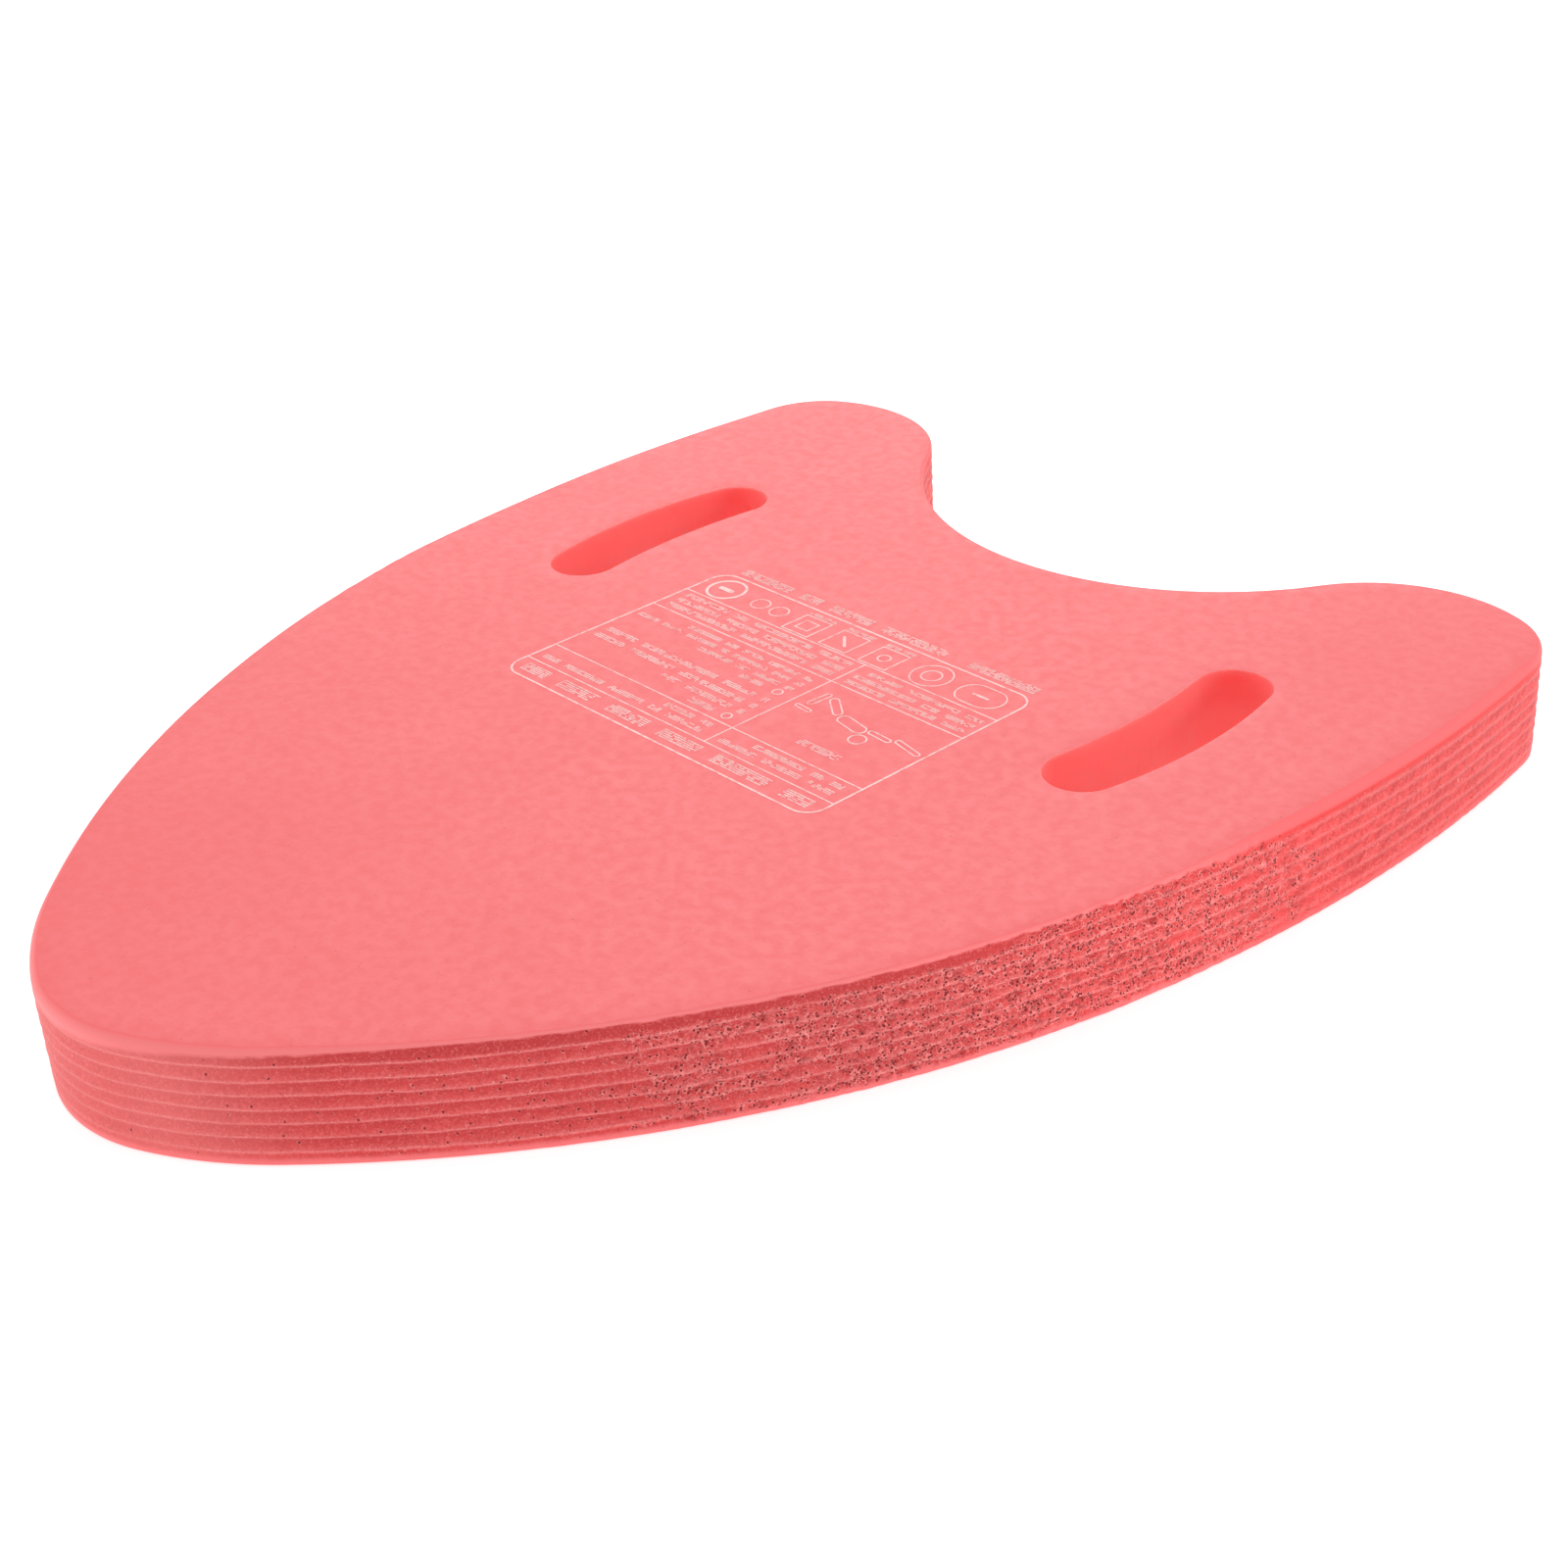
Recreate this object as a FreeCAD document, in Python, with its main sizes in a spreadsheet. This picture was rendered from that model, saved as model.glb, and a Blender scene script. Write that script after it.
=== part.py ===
"""A-shaped swimming kickboard: one foam board with two hand slots and a printed panel.

Millimetres. +Z is up, -Y points to the rounded tip and +Y to the notched end. The origin is
the centre of the bounding box's bottom face, so the board lies flat on the XY plane.
"""
import FreeCAD, Part
import math
import os
import Sketcher

V = FreeCAD.Vector
UP = V(0, 0, 1)
TOLERANCE = 0.001

# Driving dimensions. Heights are measured along Y from the tip, unless they say otherwise.
SIZES = {
    "board_length": 430,
    "board_width": 347,
    "board_thickness": 35,
    "tip_radius": 51,
    "cheek_radius": 114,
    "lower_side_radius": 390,
    "lower_side_height": 306,
    "upper_side_radius": 510,
    "widest_height": 328,
    "corner_radius": 31,
    "shoulder_radius": 50,
    "notch_radius": 102,
    "notch_height": 358,
    "slot_offset": 114.6,
    "slot_height": 297.1,
    "slot_length": 92.0,
    "slot_width": 23.5,
    "slot_bend_radius": 150,
    "slot_inner_radius": 200,
    "edge_round": 1.2,
    "band_count": 8,
    "flute_depth": 0.6,
    "crest_step": 0.05,
    "ink_thickness": 0.1,
    "line_width": 0.5,
    "border_width": 0.7,
    "panel_width": 140,
    "panel_depth": 94,
    "panel_corner": 7,
    "panel_shift": 2.2,
    "panel_height": 240.4,
    "panel_tilt": 0.6,
    "title_row": 10.2,
    "facts_row": 11.2,
    "picture_row": 40.5,
    "notes_row": 14.6,
    "left_column": 55.5,
    "symbol_radius": 7.1,
    "symbol_side": 12,
    "symbol_line": 83.4,
    "bullet_radius": 1.9,
    "head_radius": 3.0,
}

# Greeked text, read with the tip at the bottom. Each block: left edge, top edge, glyph height,
# glyph advance, line pitch, and its lines, in which each x is one glyph and a space is a gap.
# Edges run from the panel's upper left corner.
TEXT_BLOCKS = [
    (4.6, 3.2, 4.8, 5.95, 0, ["xx xxxx xxx xxx xxx xx"]),
    (4.6, 12.8, 2.5, 2.7, 4.1, ["xxxx xxxxxx xxxxxx", "xx xx xxxxxxxx"]),
    (60.8, 12.8, 2.5, 2.7, 4.1, ["xxxxxx xx xxxxxx xxxxxxx xxx", "xx xxxxx"]),
    (17.7, 27.6, 3.2, 3.5, 0, ["xxxxx"]),
    (68.0, 23.9, 2.9, 2.9, 0, ["xxxx"]),
    (59.8, 28.7, 2.7, 2.95, 4.95, ["x xxxxxxx xxx", "x xxxxxxxxxx xxxxxxx xxxxx",
                                   "x xxxxx xxxxxxxxxxxx xxxxx"]),
    (68.9, 44.8, 2.4, 2.7, 0, ["xxxx"]),
    (59.5, 48.8, 2.2, 2.0, 4.1, ["xx xxxxxx xxx xxxxxxxx",
                                 "xx xxxx xxxxxxxx xx xxxxxxx xxxxx xxxxx",
                                 "xx xxxxxxx xxxxx xxx xxxxxxxx"]),
    (2.4, 63.9, 2.3, 2.4, 3.9, ["xxxx xxxxxxxx xxxxxxx", "xxxxx xxx xxxxxxxxxxx",
                                "xxx xxxxxxxxx xxxxxx"]),
    (58.3, 64.0, 2.6, 3.0, 4.1, ["xxx xxxxxxxxxx xxxxxxxxxxx", "xxx xxxxxxxx xxxxx xxxxxxx",
                                 "xxxxx xxxxxxxxx xx xxxxxxx"]),
    (47.8, 89.9, 1.8, 3.2, 0, ["xxxx"]),
    (65.4, 89.9, 1.8, 3.2, 0, ["xxxx"]),
    (82.8, 89.9, 1.8, 3.2, 0, ["xxxx"]),
    (3.7, 95.9, 4.2, 4.7, 0, ["xxxxxx  xxxxxx xxxx xx xxxxx"]),
]
GLYPH_GAP = 0.5

# The swimmer on the panel, measured across and down from its upper left corner. Each limb runs
# between two points with a radius: float, arm, trunk, thigh, shin and foot.
SWIMMER_PARTS = [
    ((3.4, 46.0), (12.6, 47.9), 1.2),
    ((15.4, 46.3), (22.6, 46.7), 1.2),
    ((26.6, 45.6), (34.4, 47.1), 2.4),
    ((38.9, 48.7), (45.2, 53.5), 1.7),
    ((49.1, 54.6), (49.6, 47.9), 1.3),
    ((46.4, 43.9), (51.6, 44.3), 1.0),
]
SWIMMER_HEAD = (22.7, 41.0)

# Places of the bottom row's marks and of the two bullets, measured in the same way.
OVAL_ACROSS = 14.5
OVAL_STRETCH = 2.8
RING_ACROSS = 35
SQUARE_ACROSS = (54.3, 72.0, 89.2)
TWIN_ACROSS = (103.6, 112.4)
BARRED_ACROSS = 129
ROUND_DROP = 1.2
BULLET_ACROSS = 62.4
BULLET_DOWN = (25.3, 46.0)


def make_sheet(doc):
    """The spreadsheet that holds every driving dimension under its own alias."""
    sheet = doc.addObject("Spreadsheet::Sheet", "Sizes")
    for row, (alias, value) in enumerate(SIZES.items(), start=1):
        sheet.set("A%d" % row, alias)
        sheet.set("B%d" % row, str(value))
        sheet.setAlias("B%d" % row, alias)
    doc.recompute()
    return sheet


def bind(target, prop, expression):
    """Ties a property, or a named sketch constraint, to cells of the sheet."""
    target.setExpression(prop, expression)


def origin_plane(body, role):
    return next(feature for feature in body.Origin.OriginFeatures if feature.Role == role)


def new_sketch(body, name, role):
    sketch = body.newObject("Sketcher::SketchObject", name)
    sketch.AttachmentSupport = (origin_plane(body, role), [""])
    sketch.MapMode = "FlatFace"
    return sketch


def drive(sketch, name, constraint, expression):
    """Adds a dimension to a sketch, names it and binds it to the sheet."""
    index = sketch.addConstraint(constraint)
    sketch.renameConstraint(index, name)
    bind(sketch, "Constraints." + name, expression)


def add_arc(sketch, centre, radius, start, end):
    circle = Part.Circle(centre, UP, radius)
    return sketch.addGeometry(Part.ArcOfCircle(circle, start, end), False)


def heading(start, end):
    """Angle of the direction from one centre to another."""
    return math.atan2(end.y - start.y, end.x - start.x)


def third_corner(first, first_distance, second, second_distance, side):
    """Point at two given distances from two centres; side +1 is to the left of first-second."""
    gap = first.distanceToPoint(second)
    along = (first_distance ** 2 - second_distance ** 2 + gap ** 2) / (2 * gap)
    across = math.sqrt(first_distance ** 2 - along ** 2)
    unit = (second - first) * (1 / gap)
    return first + unit * along + V(-unit.y, unit.x, 0) * (side * across)


def outline_centres(size):
    """Centres of the right half's tangent arcs, from the tip round to the notch."""
    half_length = size.board_length / 2
    tip = V(0, size.tip_radius - half_length, 0)
    upper = V(size.board_width / 2 - size.upper_side_radius, size.widest_height - half_length, 0)
    lower_y = size.lower_side_height - half_length
    radius_gap = size.upper_side_radius - size.lower_side_radius
    lower_x = upper.x + math.sqrt(radius_gap ** 2 - (lower_y - upper.y) ** 2)
    lower = V(lower_x, lower_y, 0)
    cheek = third_corner(tip, size.cheek_radius - size.tip_radius,
                         lower, size.lower_side_radius - size.cheek_radius, -1)
    notch = V(0, size.notch_height + size.notch_radius - half_length, 0)
    shoulder_y = half_length - size.shoulder_radius
    reach = size.notch_radius + size.shoulder_radius
    shoulder = V(math.sqrt(reach ** 2 - (notch.y - shoulder_y) ** 2), shoulder_y, 0)
    corner = third_corner(upper, size.upper_side_radius - size.corner_radius,
                          shoulder, size.shoulder_radius - size.corner_radius, 1)
    return tip, cheek, lower, upper, corner, shoulder, notch


def half_outline(body, size):
    """Right half of the outline: seven tangent arcs, closed along the board's own axis."""
    sketch = new_sketch(body, "half_outline", "XY_Plane")
    tip, cheek, lower, upper, corner, shoulder, notch = outline_centres(size)
    bottom = -math.pi / 2
    add_arc(sketch, tip, size.tip_radius, bottom, heading(cheek, tip))
    add_arc(sketch, cheek, size.cheek_radius, heading(cheek, tip), heading(lower, cheek))
    add_arc(sketch, lower, size.lower_side_radius, heading(lower, cheek), heading(upper, lower))
    add_arc(sketch, upper, size.upper_side_radius, heading(upper, lower), heading(upper, corner))
    add_arc(sketch, corner, size.corner_radius, heading(upper, corner), heading(shoulder, corner))
    add_arc(sketch, shoulder, size.shoulder_radius, heading(shoulder, corner),
            heading(shoulder, notch))
    add_arc(sketch, notch, size.notch_radius, bottom, heading(notch, shoulder))
    axis_end = V(0, notch.y - size.notch_radius, 0)
    axis_start = V(0, -size.board_length / 2, 0)
    sketch.addGeometry(Part.LineSegment(axis_end, axis_start), False)
    constrain_half_outline(sketch)
    return sketch


def constrain_half_outline(sketch):
    add = sketch.addConstraint
    tip, cheek, lower, upper, corner, shoulder, notch, axis = range(8)
    start, end, centre = 1, 2, 3
    for arc in (tip, cheek, lower, upper, corner):
        add(Sketcher.Constraint("Tangent", arc, end, arc + 1, start))
    add(Sketcher.Constraint("Tangent", shoulder, end, notch, end))
    add(Sketcher.Constraint("Coincident", notch, start, axis, start))
    add(Sketcher.Constraint("Coincident", tip, start, axis, end))
    for arc in (tip, notch):
        add(Sketcher.Constraint("PointOnObject", arc, start, -2))
        add(Sketcher.Constraint("PointOnObject", arc, centre, -2))
    radii = {"tip_radius": tip, "cheek_radius": cheek, "lower_side_radius": lower,
             "upper_side_radius": upper, "corner_radius": corner,
             "shoulder_radius": shoulder, "notch_radius": notch}
    for name, arc in radii.items():
        radius = sketch.Geometry[arc].Radius
        drive(sketch, name, Sketcher.Constraint("Radius", arc, radius), "Sizes." + name)
    half_length = "Sizes.board_length / 2"
    place = sketch.Geometry
    drive(sketch, "tip_place",
          Sketcher.Constraint("DistanceY", tip, start, -1, 1, -place[tip].StartPoint.y),
          half_length)
    drive(sketch, "shoulder_place",
          Sketcher.Constraint("DistanceY", -1, 1, shoulder, centre, place[shoulder].Center.y),
          half_length + " - Sizes.shoulder_radius")
    drive(sketch, "widest_place",
          Sketcher.Constraint("DistanceY", -1, 1, upper, centre, place[upper].Center.y),
          "Sizes.widest_height - " + half_length)
    drive(sketch, "width_place",
          Sketcher.Constraint("DistanceX", upper, centre, -1, 1, -place[upper].Center.x),
          "Sizes.upper_side_radius - Sizes.board_width / 2")
    drive(sketch, "lower_side_place",
          Sketcher.Constraint("DistanceY", -1, 1, lower, centre, place[lower].Center.y),
          "Sizes.lower_side_height - " + half_length)
    drive(sketch, "notch_place",
          Sketcher.Constraint("DistanceY", -1, 1, notch, centre, place[notch].Center.y),
          "Sizes.notch_height + Sizes.notch_radius - " + half_length)


def slot_outline(body, size):
    """Hand slot: bent outwards along its length, with round ends and a slightly fuller middle."""
    sketch = new_sketch(body, "slot_outline", "XY_Plane")
    cap_radius = size.slot_width / 2
    bend = size.slot_bend_radius
    cap_rise = (size.slot_length - size.slot_width) / 2
    sweep = math.asin(cap_rise / bend)
    middle = V(size.slot_offset - bend, size.slot_height - size.board_length / 2, 0)
    cap_run = bend * math.cos(sweep)
    inner_reach = size.slot_inner_radius + cap_radius
    inner_sweep = math.asin(cap_rise / inner_reach)
    inner_middle = middle + V(cap_run - inner_reach * math.cos(inner_sweep), 0, 0)
    outer = add_arc(sketch, middle, bend + cap_radius, -sweep, sweep)
    top = add_arc(sketch, middle + V(cap_run, cap_rise, 0), cap_radius, sweep,
                  math.pi + inner_sweep)
    inner = add_arc(sketch, inner_middle, size.slot_inner_radius, -inner_sweep, inner_sweep)
    bottom = add_arc(sketch, middle + V(cap_run, -cap_rise, 0), cap_radius,
                     math.pi - inner_sweep, 2 * math.pi - sweep)
    add = sketch.addConstraint
    add(Sketcher.Constraint("Tangent", outer, 2, top, 1))
    add(Sketcher.Constraint("Tangent", top, 2, inner, 2))
    add(Sketcher.Constraint("Tangent", inner, 1, bottom, 1))
    add(Sketcher.Constraint("Tangent", bottom, 2, outer, 1))
    add(Sketcher.Constraint("Equal", top, bottom))
    drive(sketch, "cap_radius", Sketcher.Constraint("Radius", top, cap_radius),
          "Sizes.slot_width / 2")
    drive(sketch, "outer_radius", Sketcher.Constraint("Radius", outer, bend + cap_radius),
          "Sizes.slot_bend_radius + Sizes.slot_width / 2")
    drive(sketch, "inner_radius", Sketcher.Constraint("Radius", inner, size.slot_inner_radius),
          "Sizes.slot_inner_radius")
    drive(sketch, "bend_place", Sketcher.Constraint("DistanceX", outer, 3, -1, 1, -middle.x),
          "Sizes.slot_bend_radius - Sizes.slot_offset")
    drive(sketch, "slot_place", Sketcher.Constraint("DistanceY", -1, 1, outer, 3, middle.y),
          "Sizes.slot_height - Sizes.board_length / 2")
    half_run = "(Sizes.slot_length - Sizes.slot_width) / 2"
    drive(sketch, "top_rise", Sketcher.Constraint("DistanceY", outer, 3, top, 3, cap_rise),
          half_run)
    drive(sketch, "bottom_drop", Sketcher.Constraint("DistanceY", bottom, 3, outer, 3, cap_rise),
          half_run)
    return sketch


def flute_profile(body, size):
    """Comb of shallow concave flutes between the crests of the side wall, drawn at the tip."""
    sketch = new_sketch(body, "flute_profile", "YZ_Plane")
    bands = int(size.band_count)
    pitch = size.board_thickness / bands
    crest_y = size.crest_step - size.board_length / 2
    outside_y = -size.board_length / 2 - size.flute_depth
    crests = [V(crest_y, pitch * step, 0) for step in range(1, bands)]
    for low, high in zip(crests, crests[1:]):
        valley = V(crest_y + size.flute_depth, (low.y + high.y) / 2, 0)
        sketch.addGeometry(Part.Arc(low, valley, high), False)
    corners = [crests[-1], V(outside_y, crests[-1].y, 0), V(outside_y, crests[0].y, 0), crests[0]]
    for first, second in zip(corners, corners[1:]):
        sketch.addGeometry(Part.LineSegment(first, second), False)
    return sketch


def edges_at_faces(shape, thickness):
    """Names of every edge that lies in the bottom or the top face."""
    names = []
    for number, edge in enumerate(shape.Edges, start=1):
        box = edge.BoundBox
        flat = box.ZLength < TOLERANCE
        if flat and min(abs(box.ZMin), abs(box.ZMin - thickness)) < TOLERANCE:
            names.append("Edge%d" % number)
    return names


def make_foam_board(doc, size):
    """The board: half is padded, slotted and fluted, then mirrored, and its rims are rounded."""
    body = doc.addObject("PartDesign::Body", "foam_board")
    outline = half_outline(body, size)
    pad = body.newObject("PartDesign::Pad", "half_board")
    pad.Profile = outline
    bind(pad, "Length", "Sizes.board_thickness")
    doc.recompute()
    solid_volume = pad.Shape.Volume
    slot = body.newObject("PartDesign::Pocket", "hand_slot")
    slot.Profile = slot_outline(body, size)
    slot.Type = "ThroughAll"
    slot.Reversed = True
    doc.recompute()
    slotted_volume = slot.Shape.Volume
    flutes = body.newObject("PartDesign::SubtractivePipe", "side_flutes")
    flutes.Profile = flute_profile(body, size)
    flutes.Spine = (outline, ["Edge%d" % number for number in range(1, 8)])
    doc.recompute()
    mirrored = body.newObject("PartDesign::Mirrored", "other_half")
    mirrored.Originals = [pad, slot, flutes]
    mirrored.MirrorPlane = (origin_plane(body, "YZ_Plane"), [""])
    body.Tip = mirrored
    doc.recompute()
    rim = body.newObject("PartDesign::Fillet", "rounded_rims")
    rim.Base = (mirrored, edges_at_faces(mirrored.Shape, size.board_thickness))
    bind(rim, "Radius", "Sizes.edge_round")
    body.Tip = rim
    doc.recompute()
    print("half board %.0f, slotted %.0f, fluted %.0f, mirrored %.0f, rounded %.0f mm3"
          % (solid_volume, slotted_volume, flutes.Shape.Volume, mirrored.Shape.Volume,
             rim.Shape.Volume))
    return body


def place_on_panel(body, size):
    """Lays a print body on the top face: reading upright there means turned half a turn."""
    turn = FreeCAD.Rotation(UP, 180 - size.panel_tilt)
    body.Placement = FreeCAD.Placement(V(0, 0, 0), turn)
    bind(body, "Placement.Base.x", "Sizes.panel_shift")
    bind(body, "Placement.Base.y", "Sizes.panel_height - Sizes.board_length / 2")
    bind(body, "Placement.Base.z", "Sizes.board_thickness")


def print_body(doc, name):
    """A body of thin ink islands, which are separate solids."""
    body = doc.addObject("PartDesign::Body", name)
    body.AllowCompound = True
    return body


def print_pad(body, sketch):
    pad = body.newObject("PartDesign::Pad", body.Name + "_ink")
    pad.Profile = sketch
    bind(pad, "Length", "Sizes.ink_thickness")
    body.Tip = pad


def panel_box(body, name, left, low, width, depth):
    """Ink-thick box added to a body, with its corner and sides bound to the sheet."""
    box = body.newObject("PartDesign::AdditiveBox", name)
    bind(box, "Placement.Base.x", left)
    bind(box, "Placement.Base.y", low)
    bind(box, "Length", width)
    bind(box, "Width", depth)
    bind(box, "Height", "Sizes.ink_thickness")
    return box


def rounded_rectangle(sketch, name, half_width, half_depth, radius, cells):
    """Rectangle with round corners about the origin; cells gives its sizes as expressions."""
    inner_x, inner_y = half_width - radius, half_depth - radius
    quarter = math.pi / 2
    first = sketch.GeometryCount
    for turn, (x, y) in enumerate([(1, 1), (-1, 1), (-1, -1), (1, -1)]):
        corner = V(x * inner_x, y * inner_y, 0)
        add_arc(sketch, corner, radius, turn * quarter, (turn + 1) * quarter)
    for turn in range(4):
        start = sketch.Geometry[first + turn].EndPoint
        end = sketch.Geometry[first + (turn + 1) % 4].StartPoint
        sketch.addGeometry(Part.LineSegment(start, end), False)
    add = sketch.addConstraint
    for turn in range(4):
        side = first + 4 + turn
        add(Sketcher.Constraint("Tangent", first + turn, 2, side, 1))
        add(Sketcher.Constraint("Tangent", side, 2, first + (turn + 1) % 4, 1))
        add(Sketcher.Constraint("Horizontal" if turn % 2 == 0 else "Vertical", side))
    for turn in range(1, 4):
        add(Sketcher.Constraint("Equal", first, first + turn))
    top, left, bottom, right = range(first + 4, first + 8)
    wide, deep, bend = cells
    drive(sketch, name + "_radius", Sketcher.Constraint("Radius", first, radius), bend)
    drive(sketch, name + "_right",
          Sketcher.Constraint("DistanceX", -1, 1, right, 1, half_width), wide)
    drive(sketch, name + "_left",
          Sketcher.Constraint("DistanceX", left, 1, -1, 1, half_width), wide)
    drive(sketch, name + "_top",
          Sketcher.Constraint("DistanceY", -1, 1, top, 1, half_depth), deep)
    drive(sketch, name + "_bottom",
          Sketcher.Constraint("DistanceY", bottom, 1, -1, 1, half_depth), deep)


def make_printed_frame(doc, size):
    """Rounded border of the panel with its four thinner cross rules and one upright rule."""
    body = print_body(doc, "printed_frame")
    width, depth = "Sizes.panel_width", "Sizes.panel_depth"
    line, edge = "Sizes.line_width", "Sizes.border_width"
    border = new_sketch(body, "border", "XY_Plane")
    half_width, half_depth = size.panel_width / 2, size.panel_depth / 2
    rounded_rectangle(border, "outer", half_width, half_depth, size.panel_corner,
                      (width + " / 2", depth + " / 2", "Sizes.panel_corner"))
    inset = size.border_width
    rounded_rectangle(border, "inner", half_width - inset, half_depth - inset,
                      size.panel_corner - inset,
                      ("%s / 2 - %s" % (width, edge), "%s / 2 - %s" % (depth, edge),
                       "Sizes.panel_corner - " + edge))
    print_pad(body, border)
    rows = []
    for row in ("title_row", "facts_row", "picture_row", "notes_row"):
        rows.append("Sizes." + row)
        low = "%s / 2 - (%s) - %s / 2" % (depth, " + ".join(rows), line)
        panel_box(body, row + "_rule", "-%s / 2" % width, low, width, line)
    foot = "%s / 2 - (%s)" % (depth, " + ".join(rows))
    panel_box(body, "column_rule", "Sizes.left_column - (%s + %s) / 2" % (width, line), foot,
              line, "%s - %s" % (" + ".join(rows), rows[0]))
    place_on_panel(body, size)
    return body


def panel_point(size, across, down):
    """Point at a distance across and down from the panel's upper left corner, as read."""
    return V(across - size.panel_width / 2, size.panel_depth / 2 - down, 0)


def add_loop(sketch, corners):
    for first, second in zip(corners, corners[1:] + corners[:1]):
        sketch.addGeometry(Part.LineSegment(first, second), False)


def add_rectangle(sketch, centre, width, depth):
    half = V(width / 2, depth / 2, 0)
    add_loop(sketch, [centre - half, centre + V(half.x, -half.y, 0), centre + half,
                      centre + V(-half.x, half.y, 0)])


def add_ring(sketch, centre, radius, line):
    for reach in (radius, radius - line):
        sketch.addGeometry(Part.Circle(centre, UP, reach), False)


def add_capsule(sketch, start, end, radius):
    """Straight bar with full round ends."""
    along = heading(start, end)
    side = V(-math.sin(along), math.cos(along), 0) * radius
    quarter = math.pi / 2
    sketch.addGeometry(Part.LineSegment(start - side, end - side), False)
    add_arc(sketch, end, radius, along - quarter, along + quarter)
    sketch.addGeometry(Part.LineSegment(end + side, start + side), False)
    add_arc(sketch, start, radius, along + quarter, along + 3 * quarter)


def add_capsule_ring(sketch, start, end, radius, line):
    add_capsule(sketch, start, end, radius)
    add_capsule(sketch, start, end, radius - line)


def word_spans(line):
    """First and last glyph place of every word in a pattern line."""
    spans, start = [], None
    for place, mark in enumerate(line + " "):
        if mark == "x" and start is None:
            start = place
        if mark == " " and start is not None:
            spans.append((start, place))
            start = None
    return spans


def make_printed_text(doc, size):
    """Greeked lines of text: one plain bar per word, so nothing can be read."""
    body = print_body(doc, "printed_text")
    sketch = new_sketch(body, "word_bars", "XY_Plane")
    for left, top, height, advance, pitch, lines in TEXT_BLOCKS:
        for number, line in enumerate(lines):
            middle = top + height / 2 + number * pitch
            for start, end in word_spans(line):
                centre = panel_point(size, left + advance * (start + end) / 2, middle)
                add_rectangle(sketch, centre, advance * (end - start) - GLYPH_GAP, height)
    print_pad(body, sketch)
    place_on_panel(body, size)
    return body


def make_printed_symbols(doc, size):
    """Plain generic marks in the bottom row, and two bullets beside the guide's headings."""
    body = print_body(doc, "printed_symbols")
    sketch = new_sketch(body, "symbol_lines", "XY_Plane")
    line, radius, side = size.line_width, size.symbol_radius, size.symbol_side
    row = size.symbol_line
    low_row = row + ROUND_DROP

    def at(across, down=low_row):
        return panel_point(size, across, down)

    def bar(centre, half_length, half_width, drop=0):
        reach = V(half_length, -drop, 0)
        add_capsule(sketch, centre - reach, centre + reach, half_width)

    oval, double_ring, barred_ring = at(OVAL_ACROSS), at(RING_ACROSS), at(BARRED_ACROSS)
    oval_reach = V(OVAL_STRETCH, 0, 0)
    add_capsule_ring(sketch, oval - oval_reach, oval + oval_reach, radius - 2 * line, line)
    bar(oval, OVAL_STRETCH, line)
    add_ring(sketch, double_ring, radius, line)
    add_ring(sketch, double_ring, radius / 2, line)
    add_ring(sketch, barred_ring, radius, 2 * line)
    bar(barred_ring, radius / 3, 2 * line)
    for across in TWIN_ACROSS:
        add_ring(sketch, at(across), radius / 2, line)

    squares = [at(across, row) for across in SQUARE_ACROSS]
    for centre in squares:
        add_rectangle(sketch, centre, side, side)
        add_rectangle(sketch, centre, side - 2 * line, side - 2 * line)
    add_ring(sketch, squares[0], radius / 3, line)
    bar(squares[1], side / 5, line, drop=side / 5)
    add_rectangle(sketch, squares[2], side / 2, side / 2)
    add_rectangle(sketch, squares[2], side / 2 - 2 * line, side / 2 - 2 * line)
    for down in BULLET_DOWN:
        add_ring(sketch, at(BULLET_ACROSS, down), size.bullet_radius, line)
    print_pad(body, sketch)
    place_on_panel(body, size)
    return body


def make_printed_swimmer(doc, size):
    """Stencil figure of a plain swimmer who kicks behind a float, in separate round-ended parts."""
    body = print_body(doc, "printed_swimmer")
    sketch = new_sketch(body, "swimmer_lines", "XY_Plane")
    for start, end, radius in SWIMMER_PARTS:
        add_capsule_ring(sketch, panel_point(size, *start), panel_point(size, *end), radius,
                         size.line_width)
    add_ring(sketch, panel_point(size, *SWIMMER_HEAD), size.head_radius, size.line_width)
    print_pad(body, sketch)
    place_on_panel(body, size)
    return body


def write_parts(parts):
    os.makedirs("parts", exist_ok=True)
    for part in parts:
        part.Shape.exportStep(os.path.join("parts", part.Label + ".step"))
        box = part.Shape.BoundBox
        print("%-18s solids %3d  x %.1f..%.1f  y %.1f..%.1f  z %.2f..%.2f" % (
            part.Label, len(part.Shape.Solids), box.XMin, box.XMax, box.YMin, box.YMax,
            box.ZMin, box.ZMax))


def check_document(doc, parts):
    """Stops before anything is written if a feature or a part's shape is bad."""
    for item in doc.Objects:
        if "Invalid" in item.State or "Error" in item.State:
            raise RuntimeError("%s did not recompute: %s" % (item.Label, item.State))
    for part in parts:
        if part.Shape.isNull() or not part.Shape.isValid():
            raise RuntimeError("%s has no valid shape" % part.Label)


def main():
    doc = FreeCAD.newDocument("kickboard")
    size = make_sheet(doc)
    parts = [make_foam_board(doc, size), make_printed_frame(doc, size),
             make_printed_text(doc, size), make_printed_symbols(doc, size),
             make_printed_swimmer(doc, size)]
    doc.recompute()
    check_document(doc, parts)
    write_parts(parts)


main()
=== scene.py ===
"""Visual model of an A-shaped EVA swimming kickboard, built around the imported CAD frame.

The frame's origin is the middle of the board's underside and -Y points to the rounded tip.
Shape code works in millimetres; meshes, materials, lights and the camera are in metres.
"""
import math

import bmesh
import bpy
import numpy as np
from mathutils import Matrix, Vector
from mathutils.geometry import delaunay_2d_cdt


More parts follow.
